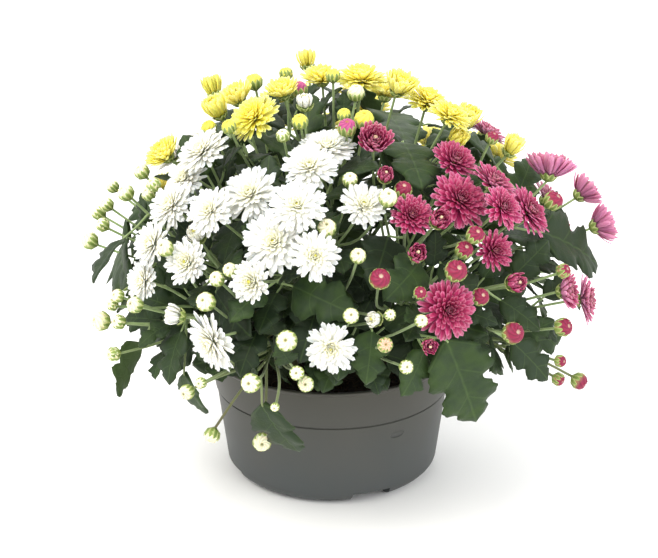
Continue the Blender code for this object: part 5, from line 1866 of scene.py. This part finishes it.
def plastic_finish():
    """Injection-moulded grey polypropylene: satin, faintly mottled, with dust that settles in drifts, and
    painted shade that darkens its upper part under the foliage.
    """
    made, tree, shader = new_finish("grey moulded polypropylene", Specular_IOR_Level=0.40)
    places = own_places(tree)
    # Drifts of dust about 45 mm across, and specks of 2.5 mm in the moulded skin
    drifts, specks = clouds(tree, places, 1 / 0.045, 4.0), clouds(tree, places, 1 / 0.0025, 2.0)
    height = add_node(tree, "ShaderNodeSeparateXYZ", {"Vector": places}, "Z")
    # Painted shade: the pot's upper part, under the foliage, is tinted darker and warmer towards the rim
    upper = ranged(tree, height, (0.02, 0.11))
    dusty = ranged(tree, drifts, (0.40, 0.75), (0.0, 0.3))
    rough = ranged(tree, drifts, levels=(0.42, 0.62))
    tree.links.new(rough, shader.inputs["Roughness"])
    layers = ((upper, "403F38"), (dusty, "4E4C47"))
    colour_and_relief(tree, shader, "424646", layers, relief=(specks, 0.12, 0.0002))
    return made


def soil_finish(name, dark, light):
    """Moist peat: near black and rough, with brown fibres and crumbs of 1 to 3 mm."""
    made, tree, shader = new_finish(name, Roughness=0.92, Specular_IOR_Level=0.2)
    crumbs = clouds(tree, own_places(tree), 1 / 0.0025, 5.0)
    browner = ranged(tree, crumbs, (0.42, 0.68))
    colour_and_relief(tree, shader, dark, ((browner, light),), relief=(crumbs, 0.8, 0.0010))
    return made


def floor_finish():
    """Matt white paper under the pot, a touch uneven so that it isn't one flat tone."""
    made, tree, shader = new_finish("matt white paper", Roughness=0.9, Specular_IOR_Level=0.1)
    cloudy = clouds(tree, own_places(tree), 2.0, 2.0)
    colour_and_relief(tree, shader, "FAFAF8", ((cloudy, "FDFDFC"),))
    return made


def all_finishes():
    """Every material of the object, by the name of what it covers."""
    finishes = {
        "leaf": leaf_finish(),
        "stem": stem_finish(),
        "bract": bract_finish(),
        "plastic": plastic_finish(),
        "soil": soil_finish("moist peat", "17110C", "3A2A1C"),
        "crumb": soil_finish("peat crumb", "1D150E", "4A3624"),
    }
    for colour in PLANTS:
        finishes[f"{colour} petal"] = petal_finish(colour)
        finishes[f"{colour} eye"] = eye_finish(colour)
        finishes[f"{colour} bud"] = bud_finish(colour)
    return finishes


def add_floor():
    """The floor that the pot stands on."""
    shape = bmesh.new()
    bmesh.ops.create_grid(shape, x_segments=4, y_segments=4, size=FLOOR_HALF)
    mesh = mesh_of("floor", shape)
    mesh.materials.append(floor_finish())
    new_object("floor", mesh)


def aim(item, place, direction):
    """Puts a lamp or a camera at a place, looking in a direction."""
    item.location = place
    item.rotation_mode = "QUATERNION"
    item.rotation_quaternion = direction.to_track_quat("-Z", "Y")


def add_light(name, place, target, size, power, colour):
    """A soft square lamp that faces a place."""
    data = bpy.data.lights.new(name, "AREA")
    data.shape = "SQUARE"
    data.size = size
    data.energy = power
    data.color = linear(colour)[:3]
    lamp = new_object(name, data)
    aim(lamp, place, Vector(target) - Vector(place))


def light_scene():
    """Soft studio light: a broad lamp high on the left, weaker ones from right and rear, a pale room."""
    for name, facts in LAMPS.items():
        add_light(name, *facts)
    world = bpy.data.worlds.new("pale room")
    bpy.context.scene.world = world
    world.use_nodes = True
    backdrop = world.node_tree.nodes["Background"]
    backdrop.inputs["Color"].default_value = linear(ROOM_COLOUR)
    backdrop.inputs["Strength"].default_value = ROOM_STRENGTH
    bpy.context.scene.view_settings.view_transform = "Standard"


def add_camera():
    """The photograph's own eye: the sight lines that placed the flowers meet again in its lens."""
    forward = Vector((0, math.cos(EYE_RISE), -math.sin(EYE_RISE)))
    data = bpy.data.cameras.new("photograph")
    data.sensor_width = SENSOR_WIDTH
    data.lens = EYE_FOCAL_PX / PHOTO_WIDTH * SENSOR_WIDTH
    data.shift_x = (PHOTO_WIDTH / 2 - EYE_MIDDLE_PX[0]) / PHOTO_WIDTH
    data.shift_y = (EYE_MIDDLE_PX[1] - PHOTO_HEIGHT / 2) / PHOTO_WIDTH
    camera = new_object("photograph", data)
    aim(camera, EYE_AIM - forward * EYE_DISTANCE, forward)
    bpy.context.scene.camera = camera


def turn_flowers(flowers):
    """Turns the few flowers that the photograph shows facing another way than their stalk."""
    for flower in flowers:
        if flower.key in TURNED_FLOWERS:
            facing, flower.openness = TURNED_FLOWERS[flower.key]
            flower.axis = facing.normalized()


def main():
    """Builds all pieces with their materials, then the floor, the light and the camera."""
    finishes = all_finishes()
    flowers, stems, leaves = lay_out()
    turn_flowers(flowers)
    for colour in PLANTS:
        build_plant(
            colour,
            [f for f in flowers if f.colour == colour],
            [s for s in stems if s.colour == colour],
            [leaf for leaf in leaves if leaf.stem.colour == colour],
            finishes,
        )
    build_blooms(flowers, finishes)
    build_pot(finishes["plastic"])
    build_soil(finishes["soil"])
    build_crumbs(finishes["crumb"])
    add_floor()
    light_scene()
    add_camera()


main()
